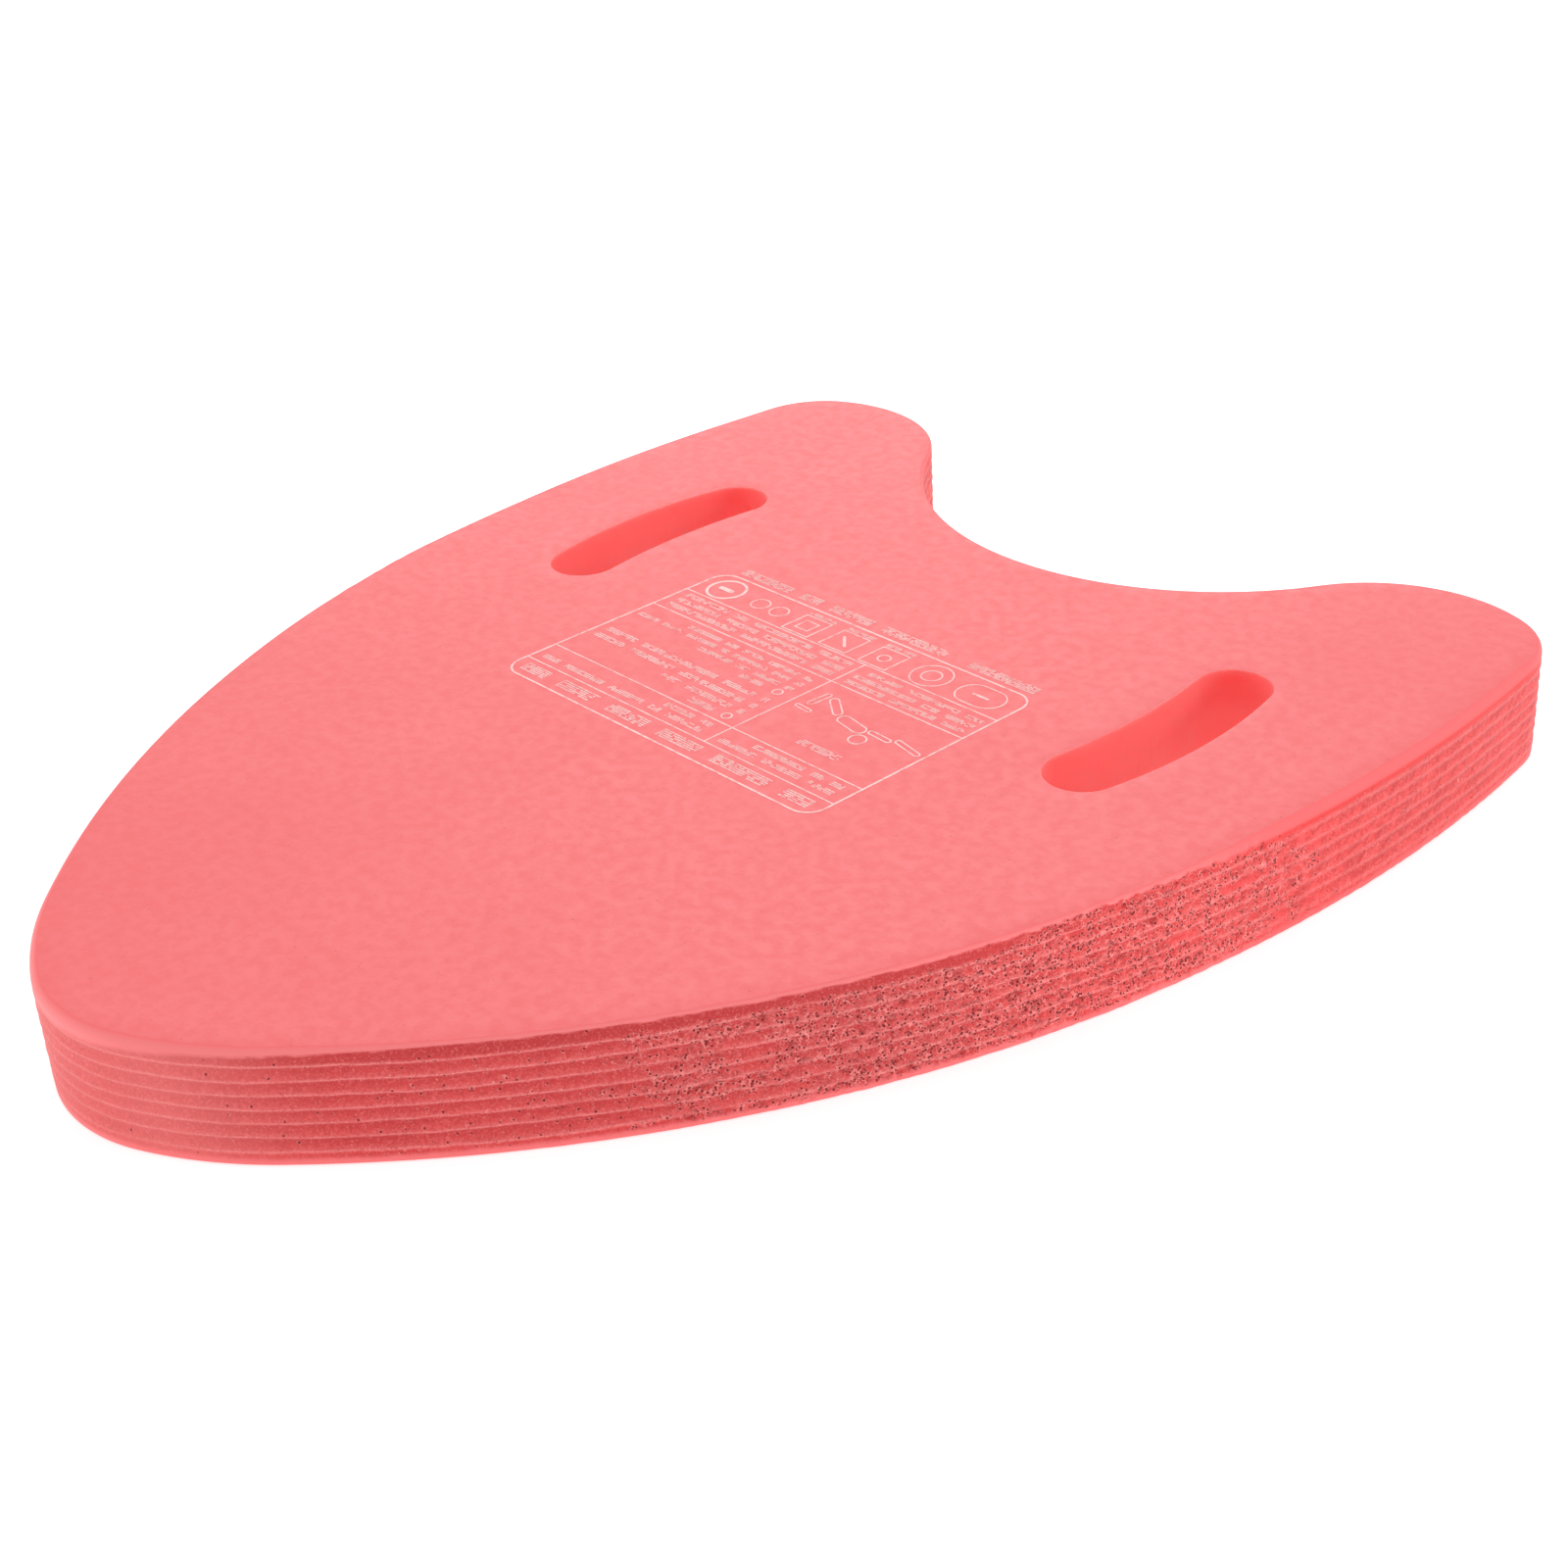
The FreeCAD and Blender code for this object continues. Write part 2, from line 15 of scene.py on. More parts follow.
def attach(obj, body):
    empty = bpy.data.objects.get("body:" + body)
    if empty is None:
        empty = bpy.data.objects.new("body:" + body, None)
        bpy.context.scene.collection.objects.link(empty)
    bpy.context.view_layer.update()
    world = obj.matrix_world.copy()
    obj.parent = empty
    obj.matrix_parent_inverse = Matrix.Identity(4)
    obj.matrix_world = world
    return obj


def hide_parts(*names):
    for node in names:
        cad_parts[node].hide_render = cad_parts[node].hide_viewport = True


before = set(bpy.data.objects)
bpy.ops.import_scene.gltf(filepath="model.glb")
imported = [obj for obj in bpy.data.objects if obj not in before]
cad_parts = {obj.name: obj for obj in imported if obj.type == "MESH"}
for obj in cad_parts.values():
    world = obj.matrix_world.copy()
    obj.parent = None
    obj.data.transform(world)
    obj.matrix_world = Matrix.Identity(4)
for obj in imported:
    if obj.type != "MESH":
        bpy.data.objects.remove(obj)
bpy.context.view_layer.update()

MM = 0.001
MIRROR = np.array([-1.0, 1.0])
SEED = 20

# The board's outline, as in the CAD source. Heights are measured up from the tip.
BOARD_LENGTH = 430.0
BOARD_WIDTH = 347.0
THICKNESS = 35.0
TIP_RADIUS = 51
CHEEK_RADIUS = 114
LOWER_SIDE_RADIUS = 390
UPPER_SIDE_RADIUS = 510
CORNER_RADIUS = 31
SHOULDER_RADIUS = 50
NOTCH_RADIUS = 102
LOWER_SIDE_HEIGHT = 306
WIDEST_HEIGHT = 328
NOTCH_HEIGHT = 358

# Hand slots and printed panel, as in the CAD source.
SLOT_OFFSET = 114.6
SLOT_HEIGHT = 297.1
SLOT_LENGTH = 92.0
SLOT_WIDTH = 23.5
SLOT_BEND = 150.0
SLOT_INNER = 200.0
PANEL_CENTRE = (2.2, 240.4 - BOARD_LENGTH / 2)
PANEL_SIZE = (140.0, 94.0)
PANEL_TILT = math.radians(0.6)
INK_THICKNESS = 0.1

# Radii of the rounded rims.
EDGE_ROUND = 1.0
TIP_ROUND = 2.4
SHOULDER_ROUND = 3.0
LOW_ROUND = 0.8
SLOT_ROUND = 0.35

# Relief of the outer wall: depths and heights outwards from its plain surface.
BAND_COUNT = 8
BAND = THICKNESS / BAND_COUNT
FLUTE_DEPTH = 0.6
CREST_HEIGHT = 0.16
PIT_DEPTH = 0.45
FLECK_HEIGHT = 0.18
TEAR_SWELL = 0.12
MARK_HEIGHT = 0.12
WALL_SWELL = 0.10
WALL_SINK = 0.05
HIGHEST_RELIEF = 0.2

# How far the crests wander up and down, how much lower the upper ones sit than equal bands
# would put them, and the slant of the cut marks.
WAVE_LONG = 0.28
WAVE_SHORT = 0.12
WAVE_TORN = 0.3
CREST_SHIFT = 0.6
CREST_SHIFT_SPAN = (5, 30)
MARK_LEAN = 0.9

# A flute's section across its band: its gain, and the powers of its rise and fall.
FLUTE_GAIN = 1.9
FLUTE_RISE = 1.3
FLUTE_FALL = 0.5

# Where features of the outer wall come or go, as distances from the tip along the outline.
TIP_RIM_END = (30, 120)
TIP_SKIN_END = (0, 45)
TIP_SOFT_END = (5, 60)
TIP_CALM_END = (5, 50)
# Painted light round the tip comes in and goes over these spans.
TIP_PAINTED_LIGHT_START = (5, 35)
TIP_PAINTED_LIGHT_END = (25, 80)
SCATTER_START = (35, 110)
BAND_DARKENS = (70, 120)
TORN_START = (80, 215)
TORN_END = (300, 385)
# Painted light on the wall towards the shoulders comes in and fades over these spans.
PAINTED_SIDE_LIGHT_START = (200, 290)
PAINTED_SIDE_LIGHT_END = (320, 400)
SMOOTH_BAND_END = (235, 275)
SHOULDER_START = (290, 350)
SHOULDER_RIM_END = (450, 500)

# Heights and widths on the outer wall: drops are measured down from the top face.
SMOOTH_BAND_DROP = (3.2, 4.8)
CALM_DROP = (3, 6)
INSIDE_SPAN = (0.2, 1.5)
# The painted shade line under the shoulders' soft rim, and its fainter halo above it.
SHADE_LINE_DROP = 3.1
SHADE_LINE_WIDTH = 0.55
SHADE_HALO_DROP = -0.8
SHADE_HALO_WIDTH = 1.1
# Height and fade of the band at the foot that is painted paler as painted light bounced from the
# floor.
FOOT_PAINTED_LIGHT_HEIGHT = 3.1
FOOT_PAINTED_LIGHT_FADE = 1.8
TIP_SKIN_EXTRA = 2.0
SKIN_SOFT = 0.2
SKIN_SOFT_TIP = 1.8
SKIN_SOFT_SHOULDER = 0.6
CREST_WIDTH = 0.40
CREST_WIDTH_SHOULDER = 0.5
RIDGE_WIDTH = 1.3

# Shares by which the outer wall's features show, and by which they are lost elsewhere. A span
# is the stretch of noise or of a band over which a feature comes in.
TORN_GAIN = 2.4
TORN_OFFSET = 1.1
TORN_SPAN = (-0.4, 0.7)
TORN_LEAST = 0.4
TORN_LOST_ON_SHOULDER = 0.92
TORN_LOST_IN_BAND = 0.95
SCATTER = 0.2
SCATTER_LOST_IN_BAND = 0.6
SPOT_SPAN = (0.55, 1.0)
FLUTE_LOST_ON_SHOULDER = 0.45
FLUTE_FULL = 1.15
FLUTE_LOST_IN_TEARS = 0.3
LEDGE = 0.5
LEDGE_LENGTH = 0.24
TOP_LEDGE = 0.2
WHOLE_SPAN = (-0.9, 0.1)
WHOLE_LEAST = 0.7
CREST_LOST_IN_TEARS = 0.05
BROKEN_CREST_LOST_IN_TEARS = 0.5
CREST_LOST_AT_TIP = 0.45
CREST_LOST_ON_SHOULDER = 0.6
SHADE_SPAN = (0.15, 0.95)
TOP_SHADE = 0.5
SHADE_LOST_AT_TIP = 0.5
SHADE_LOST_ON_SHOULDER = 0.1
MARK_SHADE = 0.9
SKIN_REACH = 0.95
FLAT_RIM_REACH = 0.12
FLAT_ON_SHOULDER = 0.65
FLAT_AT_FOOT = 0.33
SHADE_HALO = 0.3
PAINTED_LIGHT_AT_TIP = 0.65
PAINTED_SIDE_LIGHT_LOST_AT_SHOULDER = 0.75
BAND_SHADE = 0.55
BAND_SHADE_EXTRA = 0.3

# Gentle hollows of the top face.
SINK_DEPTH = 0.3
SINK_CELLS = (5, 6)
PANEL_MARGIN = (2, 22)
RIM_MARGIN = (0, 20)

# Mesh fineness, and the weld distance of points that are one point.
WALL_STEP = 0.65
WALL_ROWS = 72
RIM_ROWS = 5
SLOT_STEP = 0.8
SLOT_ROWS = 14
FACE_STEP = 5.0
RIM_CLEARANCE = 0.9 * FACE_STEP
WELD = 1e-6

# Points are measured in this many lots, to save memory.
LOTS = 24

# The output type of delaunay_2d_cdt that keeps only the triangles inside the outlines.
INSIDE_OUTLINES = 1

# Greeked words: dash sizes in mm, and shares of a row's or a column's pitch.
DASH_ROW = 0.8
DASH_COLUMN = 0.78
DASH_LINES = (3, 5)
DASH_THICK = 0.58
DASH_GAP = 0.3
DASH_CHANCE = 0.86
LONGEST_DASH = 2

# Materials in the order of their slots on the foam skin.
SKIN, WALL, SLOT = range(3)

# Colours.
SKIN_LOW = (0.90, 0.118, 0.124, 1)
SKIN_HIGH = (0.92, 0.133, 0.139, 1)
SKIN_MOTTLE = (0.86, 0.102, 0.107, 1)
SKIN_SPECK = (0.50, 0.060, 0.065, 1)
# Painted light: a paler colour for the rounded rims and the foot, for the light the rims catch and
# the light bounced up from the floor.
RIM_PAINTED_LIGHT = (0.98, 0.225, 0.230, 1)
WALL_LOW = (0.69, 0.050, 0.052, 1)
WALL_HIGH = (0.76, 0.061, 0.062, 1)
# Painted light: brighter wall colour towards the shoulders.
WALL_PAINTED_SIDE_LIGHT = (0.88, 0.068, 0.068, 1)
WALL_PALE = (0.95, 0.27, 0.26, 1)
# Darker foam for grain, blotches and torn cells, and the colour of painted shade under the crests and
# in the band below the rim.
WALL_DARK_AND_SHADE = (0.50, 0.028, 0.031, 1)
WALL_FLECK = (0.98, 0.33, 0.31, 1)
# Painted shade in the open cells of the torn foam.
WALL_PIT_SHADE = (0.19, 0.005, 0.008, 1)
# Painted light: red added towards the shoulders.
PAINTED_SIDE_LIGHT_TINT = (0.09, 0, 0, 1)
# Painted shade under the shoulders' soft rim.
SHADE_UNDER_RIM = (0.74, 0.038, 0.038, 1)
SLOT_LOW = (0.99, 0.270, 0.265, 1)
SLOT_HIGH = (0.99, 0.295, 0.290, 1)
SLOT_STREAK = (0.98, 0.220, 0.215, 1)
# Painted shade on the upper part of a slot's wall.
SLOT_PAINTED_SHADE = (0.98, 0.175, 0.171, 1)
INK_THIN = (0.90, 0.30, 0.30, 1)
INK_FULL = (0.93, 0.62, 0.60, 1)
FOAM_GLOW = (1.0, 0.15, 0.14)
FLOOR_LOW = (0.79, 0.79, 0.79, 1)
FLOOR_HIGH = (0.81, 0.81, 0.81, 1)
WHITE = (1, 1, 1, 1)

# Height above which a slot's wall takes on painted shade, deepest at the top rim, to even out the
# light that falls there.
SLOT_SHADE_FROM = 18.0

# How strongly each layer of a material shows.
SPECK_SHARE = 0.4
MOTTLE_RELIEF = 0.7
PAINTED_SIDE_LIGHT_SHARE = 0.5
SHADE_SHARE = 0.78
TORN_SHARE = 0.4
TIP_PAINTED_LIGHT_SHARE = 0.37
CALM_SHARE = 0.55
PIT_SHARE = 0.35
FLECK_SHARE = 0.25
CREST_HIGHLIGHT_SHARE = 0.85
CREST_ON_SKIN = 0.3
SHRED_SHARE = 0.62
PIT_SHADE_SHARE = 0.88
DARK_RELIEF = 2.0

# Camera, light and floor.
PITCH = math.radians(29.289)
ROLL = math.radians(-3.272)
YAW = math.radians(48.239)
CAMERA_PLACE = (0.5134, -0.42486, 0.38155)
LENS = 57.49
SENSOR_WIDTH = 36
CLIP_START = 0.01
LIGHT_TARGET = (0, 0, 0.02)
WORLD_STRENGTH = 0.52
FLOOR_GLOW = 0.55
FLOOR_REACH = 6.0
FLOOR_DROP = 0.0002


# ---------------------------------------------------------------- outline

def third_corner(first, first_distance, second, second_distance, side):
    """Point at two given distances from two centres; side +1 is to the left of first-second."""
    gap = math.dist(first, second)
    along = (first_distance ** 2 - second_distance ** 2 + gap ** 2) / (2 * gap)
    across = math.sqrt(first_distance ** 2 - along ** 2) * side
    ux, uy = (second[0] - first[0]) / gap, (second[1] - first[1]) / gap
    return (first[0] + ux * along - uy * across, first[1] + uy * along + ux * across)


def heading(start, end):
    """Direction from one point to another, as an angle."""
    return math.atan2(end[1] - start[1], end[0] - start[0])


def half_arcs():
    """Right half of the outline as tangent arcs from tip to notch: centre, radius, angles."""
    half = BOARD_LENGTH / 2
    tip = (0.0, TIP_RADIUS - half)
    upper = (BOARD_WIDTH / 2 - UPPER_SIDE_RADIUS, WIDEST_HEIGHT - half)
    lower_y = LOWER_SIDE_HEIGHT - half
    reach = UPPER_SIDE_RADIUS - LOWER_SIDE_RADIUS
    lower = (upper[0] + math.sqrt(reach ** 2 - (lower_y - upper[1]) ** 2), lower_y)
    cheek = third_corner(tip, CHEEK_RADIUS - TIP_RADIUS, lower, LOWER_SIDE_RADIUS - CHEEK_RADIUS, -1)
    notch = (0.0, NOTCH_HEIGHT + NOTCH_RADIUS - half)
    shoulder_y = half - SHOULDER_RADIUS
    reach = NOTCH_RADIUS + SHOULDER_RADIUS
    shoulder = (math.sqrt(reach ** 2 - (notch[1] - shoulder_y) ** 2), shoulder_y)
    corner = third_corner(upper, UPPER_SIDE_RADIUS - CORNER_RADIUS,
                          shoulder, SHOULDER_RADIUS - CORNER_RADIUS, 1)
    down = -math.pi / 2
    return [
        (tip, TIP_RADIUS, down, heading(cheek, tip)),
        (cheek, CHEEK_RADIUS, heading(cheek, tip), heading(lower, cheek)),
        (lower, LOWER_SIDE_RADIUS, heading(lower, cheek), heading(upper, lower)),
        (upper, UPPER_SIDE_RADIUS, heading(upper, lower), heading(upper, corner)),
        (corner, CORNER_RADIUS, heading(upper, corner), heading(shoulder, corner)),
        (shoulder, SHOULDER_RADIUS, heading(shoulder, corner), heading(shoulder, notch)),
        (notch, NOTCH_RADIUS, heading(notch, shoulder), down),
    ]


def sample_path(arcs, lengths):
    """Points and outward normals on a chain of arcs, at given distances along it."""
    points, normals = np.zeros((len(lengths), 2)), np.zeros((len(lengths), 2))
    start = 0.0
    for number, (centre, radius, first, last) in enumerate(arcs):
        span = abs(last - first) * radius
        final = number == len(arcs) - 1
        here = (lengths >= start) & ((lengths < start + span) | final)
        turn = math.copysign(1.0, last - first)
        angle = first + turn * (lengths[here] - start) / radius
        ray = np.stack([np.cos(angle), np.sin(angle)], axis=1)
        points[here] = np.array(centre) + ray * radius
        normals[here] = ray * turn
        start += span
    return points, normals


def path_length(arcs):
    """Length of a chain of arcs."""
    return sum(abs(last - first) * radius for _, radius, first, last in arcs)


def board_loop():
    """The whole outline counter-clockwise from the tip: points, outward normals, and each
    point's distance from the tip along its own side."""
    arcs = half_arcs()
    length = path_length(arcs)
    count = round(length / WALL_STEP)
    along = np.arange(count + 1) * length / count
    points, normals = sample_path(arcs, along)
    points = np.concatenate([points, (points * MIRROR)[-2:0:-1]])
    normals = np.concatenate([normals, (normals * MIRROR)[-2:0:-1]])
    along = np.concatenate([along, along[-2:0:-1]])
    return points, normals, along


def slot_loop(side):
    """One hand slot's outline, counter-clockwise, with normals that point into the foam."""
    cap = SLOT_WIDTH / 2
    rise = (SLOT_LENGTH - SLOT_WIDTH) / 2
    middle_x, middle_y = SLOT_OFFSET - SLOT_BEND, SLOT_HEIGHT - BOARD_LENGTH / 2
    sweep = math.asin(rise / SLOT_BEND)
    cap_x = middle_x + SLOT_BEND * math.cos(sweep)
    inner_sweep = math.asin(rise / (SLOT_INNER + cap))
    inner_x = cap_x - (SLOT_INNER + cap) * math.cos(inner_sweep)
    arcs = [
        ((middle_x, middle_y), SLOT_BEND + cap, -sweep, sweep),
        ((cap_x, middle_y + rise), cap, sweep, math.pi + inner_sweep),
        ((inner_x, middle_y), SLOT_INNER, inner_sweep, -inner_sweep),
        ((cap_x, middle_y - rise), cap, math.pi - inner_sweep, 2 * math.pi - sweep),
    ]
    length = path_length(arcs)
    count = round(length / SLOT_STEP)
    points, normals = sample_path(arcs, np.arange(count) * length / count)
    if side < 0:
        points, normals = (points * MIRROR)[::-1], (normals * MIRROR)[::-1]
    return points, normals


# ---------------------------------------------------------------- surface relief

def lattice(random, columns, rows, across, down):
    """Smooth noise in -1..1 from a random lattice; across wraps round, down doesn't."""
    grid = random.uniform(-1, 1, (columns, rows + 2))
    x, y = across * columns, down * rows
    x0, y0 = np.floor(x).astype(int), np.floor(y).astype(int)
    fx, fy = x - x0, y - y0
    fx, fy = fx * fx * (3 - 2 * fx), fy * fy * (3 - 2 * fy)
    x1 = (x0 + 1) % columns
    x0 = x0 % columns
    y0 = np.clip(y0, 0, rows)
    low = grid[x0, y0] * (1 - fx) + grid[x1, y0] * fx
    high = grid[x0, y0 + 1] * (1 - fx) + grid[x1, y0 + 1] * fx
    return low * (1 - fy) + high * fy


def ramp(value, low, high):
    """0 below low, 1 above high, and a smooth step between."""
    t = np.clip((value - low) / (high - low), 0, 1)
    return t * t * (3 - 2 * t)


def bell(distance, width):
    """1 at no distance, falling off smoothly over a width."""
    return np.exp(-(distance / width) ** 2)


def less(value, share, where):
    """A value that loses a share of itself where a mask is 1."""
    return value * (1 - share * where)


def edge_profile(top_radii, low_radius, rows):
    """Height and inset of each row of a wall, from the top face down, with a top rim radius for
    each column."""
    radii = top_radii[:, None]
    turn = np.linspace(0, math.pi / 2, RIM_ROWS)[None, :]
    top_z = THICKNESS - radii + radii * np.cos(turn)
    top_in = radii - radii * np.sin(turn)
    low_z = low_radius - low_radius * np.cos(turn[:, ::-1]) + 0 * radii
    low_in = low_radius - low_radius * np.sin(turn[:, ::-1]) + 0 * radii
    share = np.linspace(0, 1, rows)[None, 1:-1]
    middle = THICKNESS - radii - (THICKNESS - radii - low_radius) * share
    heights = np.concatenate([top_z, middle, low_z], axis=1)
    insets = np.concatenate([top_in, np.zeros(middle.shape), low_in], axis=1)
    return heights, insets


def rim_radii(along):
    """Radius of the top rim: softer round the tip and along the outer side of each shoulder."""
    tip = 1 - ramp(along, *TIP_RIM_END)
    shoulder = ramp(along, *SHOULDER_START) * (1 - ramp(along, *SHOULDER_RIM_END))
    return EDGE_ROUND + (TIP_ROUND - EDGE_ROUND) * tip + (SHOULDER_ROUND - EDGE_ROUND) * shoulder


class OuterWall:
    """The outer wall as a grid: columns run round the board from the tip, rows run down it."""

    def __init__(self, along, height):
        columns, rows = height.shape
        self.random = np.random.RandomState(SEED)
        self.loop = columns * WALL_STEP
        self.height = height
        self.drop = THICKNESS - height
        self.down = 1 - height / THICKNESS
        self.across = (np.arange(columns) / columns)[:, None] + np.zeros((1, rows))
        self.along = along[:, None] + np.zeros((1, rows))
        self.radii = rim_radii(self.along)
        self.tip = 1 - ramp(self.along, *TIP_CALM_END)
        self.shoulder = ramp(self.along, *SHOULDER_START)

    def noise(self, cell_across, cell_down, lean=0.0):
        """Smooth noise in -1..1 with cells of a size in mm. A lean makes them rise along the
        loop."""
        columns = round(self.loop / cell_across)
        rows = max(1, round(THICKNESS / cell_down))
        across = self.across + lean * self.drop / self.loop
        return lattice(self.random, columns, rows, across, self.down)


def torn_cells(wall):
    """How torn the cut is, and the smooth band that is left under the top rim."""
    zone = less(ramp(wall.along, *TORN_START), TORN_LOST_ON_SHOULDER, ramp(wall.along, *TORN_END))
    patch = wall.noise(18, 6) + 0.7 * wall.noise(6, 3)
    torn = ramp(patch + TORN_GAIN * zone - TORN_OFFSET, *TORN_SPAN)
    torn = torn * (TORN_LEAST + (1 - TORN_LEAST) * zone)
    band_drop = wall.drop + 0.7 * wall.noise(9, 9)
    smooth_band = (1 - ramp(band_drop, *SMOOTH_BAND_DROP)) * (1 - ramp(wall.along, *SMOOTH_BAND_END))
    scatter = SCATTER * ramp(wall.along, *SCATTER_START) * (1 - wall.shoulder)
    scatter = less(scatter, SCATTER_LOST_IN_BAND, smooth_band)
    return np.maximum(less(torn, TORN_LOST_IN_BAND, smooth_band), scatter), smooth_band


def flutes(wall, torn):
    """The flutes' depth, their crest lines painted as highlights, how near a crest is, and their
    undersides' painted shade.
    """
    wavy = wall.height + CREST_SHIFT * ramp(wall.height, *CREST_SHIFT_SPAN)
    wavy = wavy + WAVE_LONG * wall.noise(26, BAND)
    wavy = wavy + (WAVE_SHORT + WAVE_TORN * torn) * wall.noise(5, BAND)
    phase = wavy / BAND
    place = phase - np.floor(phase)
    top_band = phase > BAND_COUNT - 1
    fluted = (phase > 1) & (phase < BAND_COUNT - 1)
    nearest = np.abs(phase - np.clip(np.round(phase), 1, BAND_COUNT - 1)) * BAND

    hollow = FLUTE_GAIN * place ** FLUTE_RISE * (1 - place) ** FLUTE_FALL
    depth = less(np.where(fluted, hollow, 0), FLUTE_LOST_ON_SHOULDER, wall.shoulder)

    whole = ramp(wall.noise(9, BAND) + 0.5 * wall.noise(3, BAND), *WHOLE_SPAN)
    # The ledge is a paler gradient just above each crest, where the flute faces up; in the colour it
    # is a painted highlight.
    ledge = np.where((phase > 1) & (phase < BAND_COUNT), LEDGE * np.exp(-place / LEDGE_LENGTH), 0)
    ledge = np.where(top_band, TOP_LEDGE * ledge, ledge)
    crest = bell(nearest, CREST_WIDTH + CREST_WIDTH_SHOULDER * wall.shoulder)
    lost = CREST_LOST_IN_TEARS + BROKEN_CREST_LOST_IN_TEARS * (1 - whole)
    crest = less(crest, lost, torn) * (WHOLE_LEAST + (1 - WHOLE_LEAST) * whole)
    crest = less(np.maximum(crest, ledge), CREST_LOST_AT_TIP, wall.tip)
    crest = less(crest, CREST_LOST_ON_SHOULDER, wall.shoulder)

    # Painted shade: each flute is darkened towards its top, under the crest above it, where the
    # undercut lies in shade; the top band gets half of it.
    shade = np.where(fluted, ramp(place, *SHADE_SPAN), TOP_SHADE * (phase >= BAND_COUNT - 1))
    shade = less(less(shade, SHADE_LOST_AT_TIP, wall.tip), SHADE_LOST_ON_SHOULDER, wall.shoulder)
    return depth, crest, bell(nearest, RIDGE_WIDTH), shade


def cell_spots(wall, torn):
    """Open cells and raised shreds of the torn foam."""
    pit = ramp(wall.noise(1.4, 1.0) + 0.8 * wall.noise(2.2, 1.3), *SPOT_SPAN)
    fleck = ramp(wall.noise(1.4, 1.0) + 0.7 * wall.noise(2.4, 1.2), *SPOT_SPAN)
    return pit * torn, fleck * torn


def skin_edges(wall, torn):
    """Where the smooth skin laps over the wall, with a band at the foot painted paler as painted
    light bounced from the floor; the painted shade line under the shoulders' soft rim; and how far
    the skin's colour is that of the flat face rather than the paler painted light of the rims."""
    ragged = 0.18 * wall.noise(5, BAND) + (0.1 + 0.5 * torn) * wall.noise(1.6, BAND)
    reach = SKIN_REACH * wall.radii + TIP_SKIN_EXTRA * (1 - ramp(wall.along, *TIP_SKIN_END))
    soft = (SKIN_SOFT + SKIN_SOFT_TIP * (1 - ramp(wall.along, *TIP_SOFT_END))
            + SKIN_SOFT_SHOULDER * wall.shoulder)
    skin = ramp(reach - wall.drop + ragged, -soft, soft)
    # Painted light: a band at the foot takes the paler skin colour, for light bounced up from the
    # floor.
    skin = np.maximum(skin, ramp(FOOT_PAINTED_LIGHT_HEIGHT - wall.height - ragged, 0, FOOT_PAINTED_LIGHT_FADE))
    # Painted shade: a dark line under the shoulders' soft rim, with a fainter halo above it.
    shade_line = wall.drop - SHADE_LINE_DROP + 0.3 * wall.noise(12, 6)
    shade_halo = SHADE_HALO * bell(shade_line - SHADE_HALO_DROP, SHADE_HALO_WIDTH)
    rim_shade = (shade_halo + bell(shade_line, SHADE_LINE_WIDTH)) * wall.shoulder
    # Where the colour is not the flat face's, the rims take the paler painted-light colour.
    top_rim = np.maximum(FLAT_ON_SHOULDER * wall.shoulder,
                         1 - ramp(wall.drop, 0, FLAT_RIM_REACH * wall.radii))
    foot = np.maximum(wall.shoulder, FLAT_AT_FOOT)
    flat_rim = np.where(wall.height < THICKNESS / 2, foot, top_rim)
    return skin, np.minimum(rim_shade, 1), flat_rim


def wall_relief(along, height):
    """Flutes, crests, torn cells and cut marks of the outer wall: relief outwards, and masks for
    its material."""
    wall = OuterWall(along, height)
    torn, smooth_band = torn_cells(wall)
    depth, crest, ridge, shade = flutes(wall, torn)
    pit, fleck = cell_spots(wall, torn)
    skin, rim_shade, flat_rim = skin_edges(wall, torn)
    marks = 0.8 * wall.noise(2.1, 5, MARK_LEAN) + 0.4 * wall.noise(1.5, 2, MARK_LEAN)
    marks = marks * wall.shoulder * ramp(wall.drop, *CALM_DROP)
    inside = ramp(np.minimum(wall.height, wall.drop), *INSIDE_SPAN)
    relief = (-FLUTE_DEPTH * depth * (FLUTE_FULL - FLUTE_LOST_IN_TEARS * torn)
              + CREST_HEIGHT * crest
              - PIT_DEPTH * pit * inside
              + FLECK_HEIGHT * fleck * inside
              + TEAR_SWELL * torn * (wall.noise(1.8, 1.4) + wall.noise(5, 3))
              + MARK_HEIGHT * marks
              + WALL_SWELL * wall.noise(48, 16) - WALL_SINK)
    # Painted light: the wall round the tip is painted paler, for the light and sheen it catches at
    # grazing angles.
    pale = PAINTED_LIGHT_AT_TIP + (1 - PAINTED_LIGHT_AT_TIP) * ramp(wall.along, *TIP_PAINTED_LIGHT_START)
    pale = pale * (1 - ramp(wall.along, *TIP_PAINTED_LIGHT_END))
    # Painted light: the outer wall is made brighter and redder towards the shoulders, for the light
    # that falls on that side.
    painted_side_light = less(ramp(wall.along, *PAINTED_SIDE_LIGHT_START), PAINTED_SIDE_LIGHT_LOST_AT_SHOULDER, ramp(wall.along, *PAINTED_SIDE_LIGHT_END))
    masks = {
        "torn": torn,
        "crest": crest,
        # Painted shade under the crests, with the cut marks darkened into it.
        "shade": np.clip(shade + MARK_SHADE * marks, 0, 1),
        "pit": pit,
        "fleck": fleck,
        "skin": skin,
        "rim_shade": rim_shade,
        "ridge": ridge,
        "pale": pale,
        "painted_side_light": painted_side_light,
        "calm": wall.shoulder,
        "flat_rim": flat_rim,
        # Painted shade: the smooth band under the top rim is darkened, more deeply away from the tip.
        "band": smooth_band * (BAND_SHADE + BAND_SHADE_EXTRA * ramp(wall.along, *BAND_DARKENS)),
    }
    return np.minimum(relief, HIGHEST_RELIEF), masks


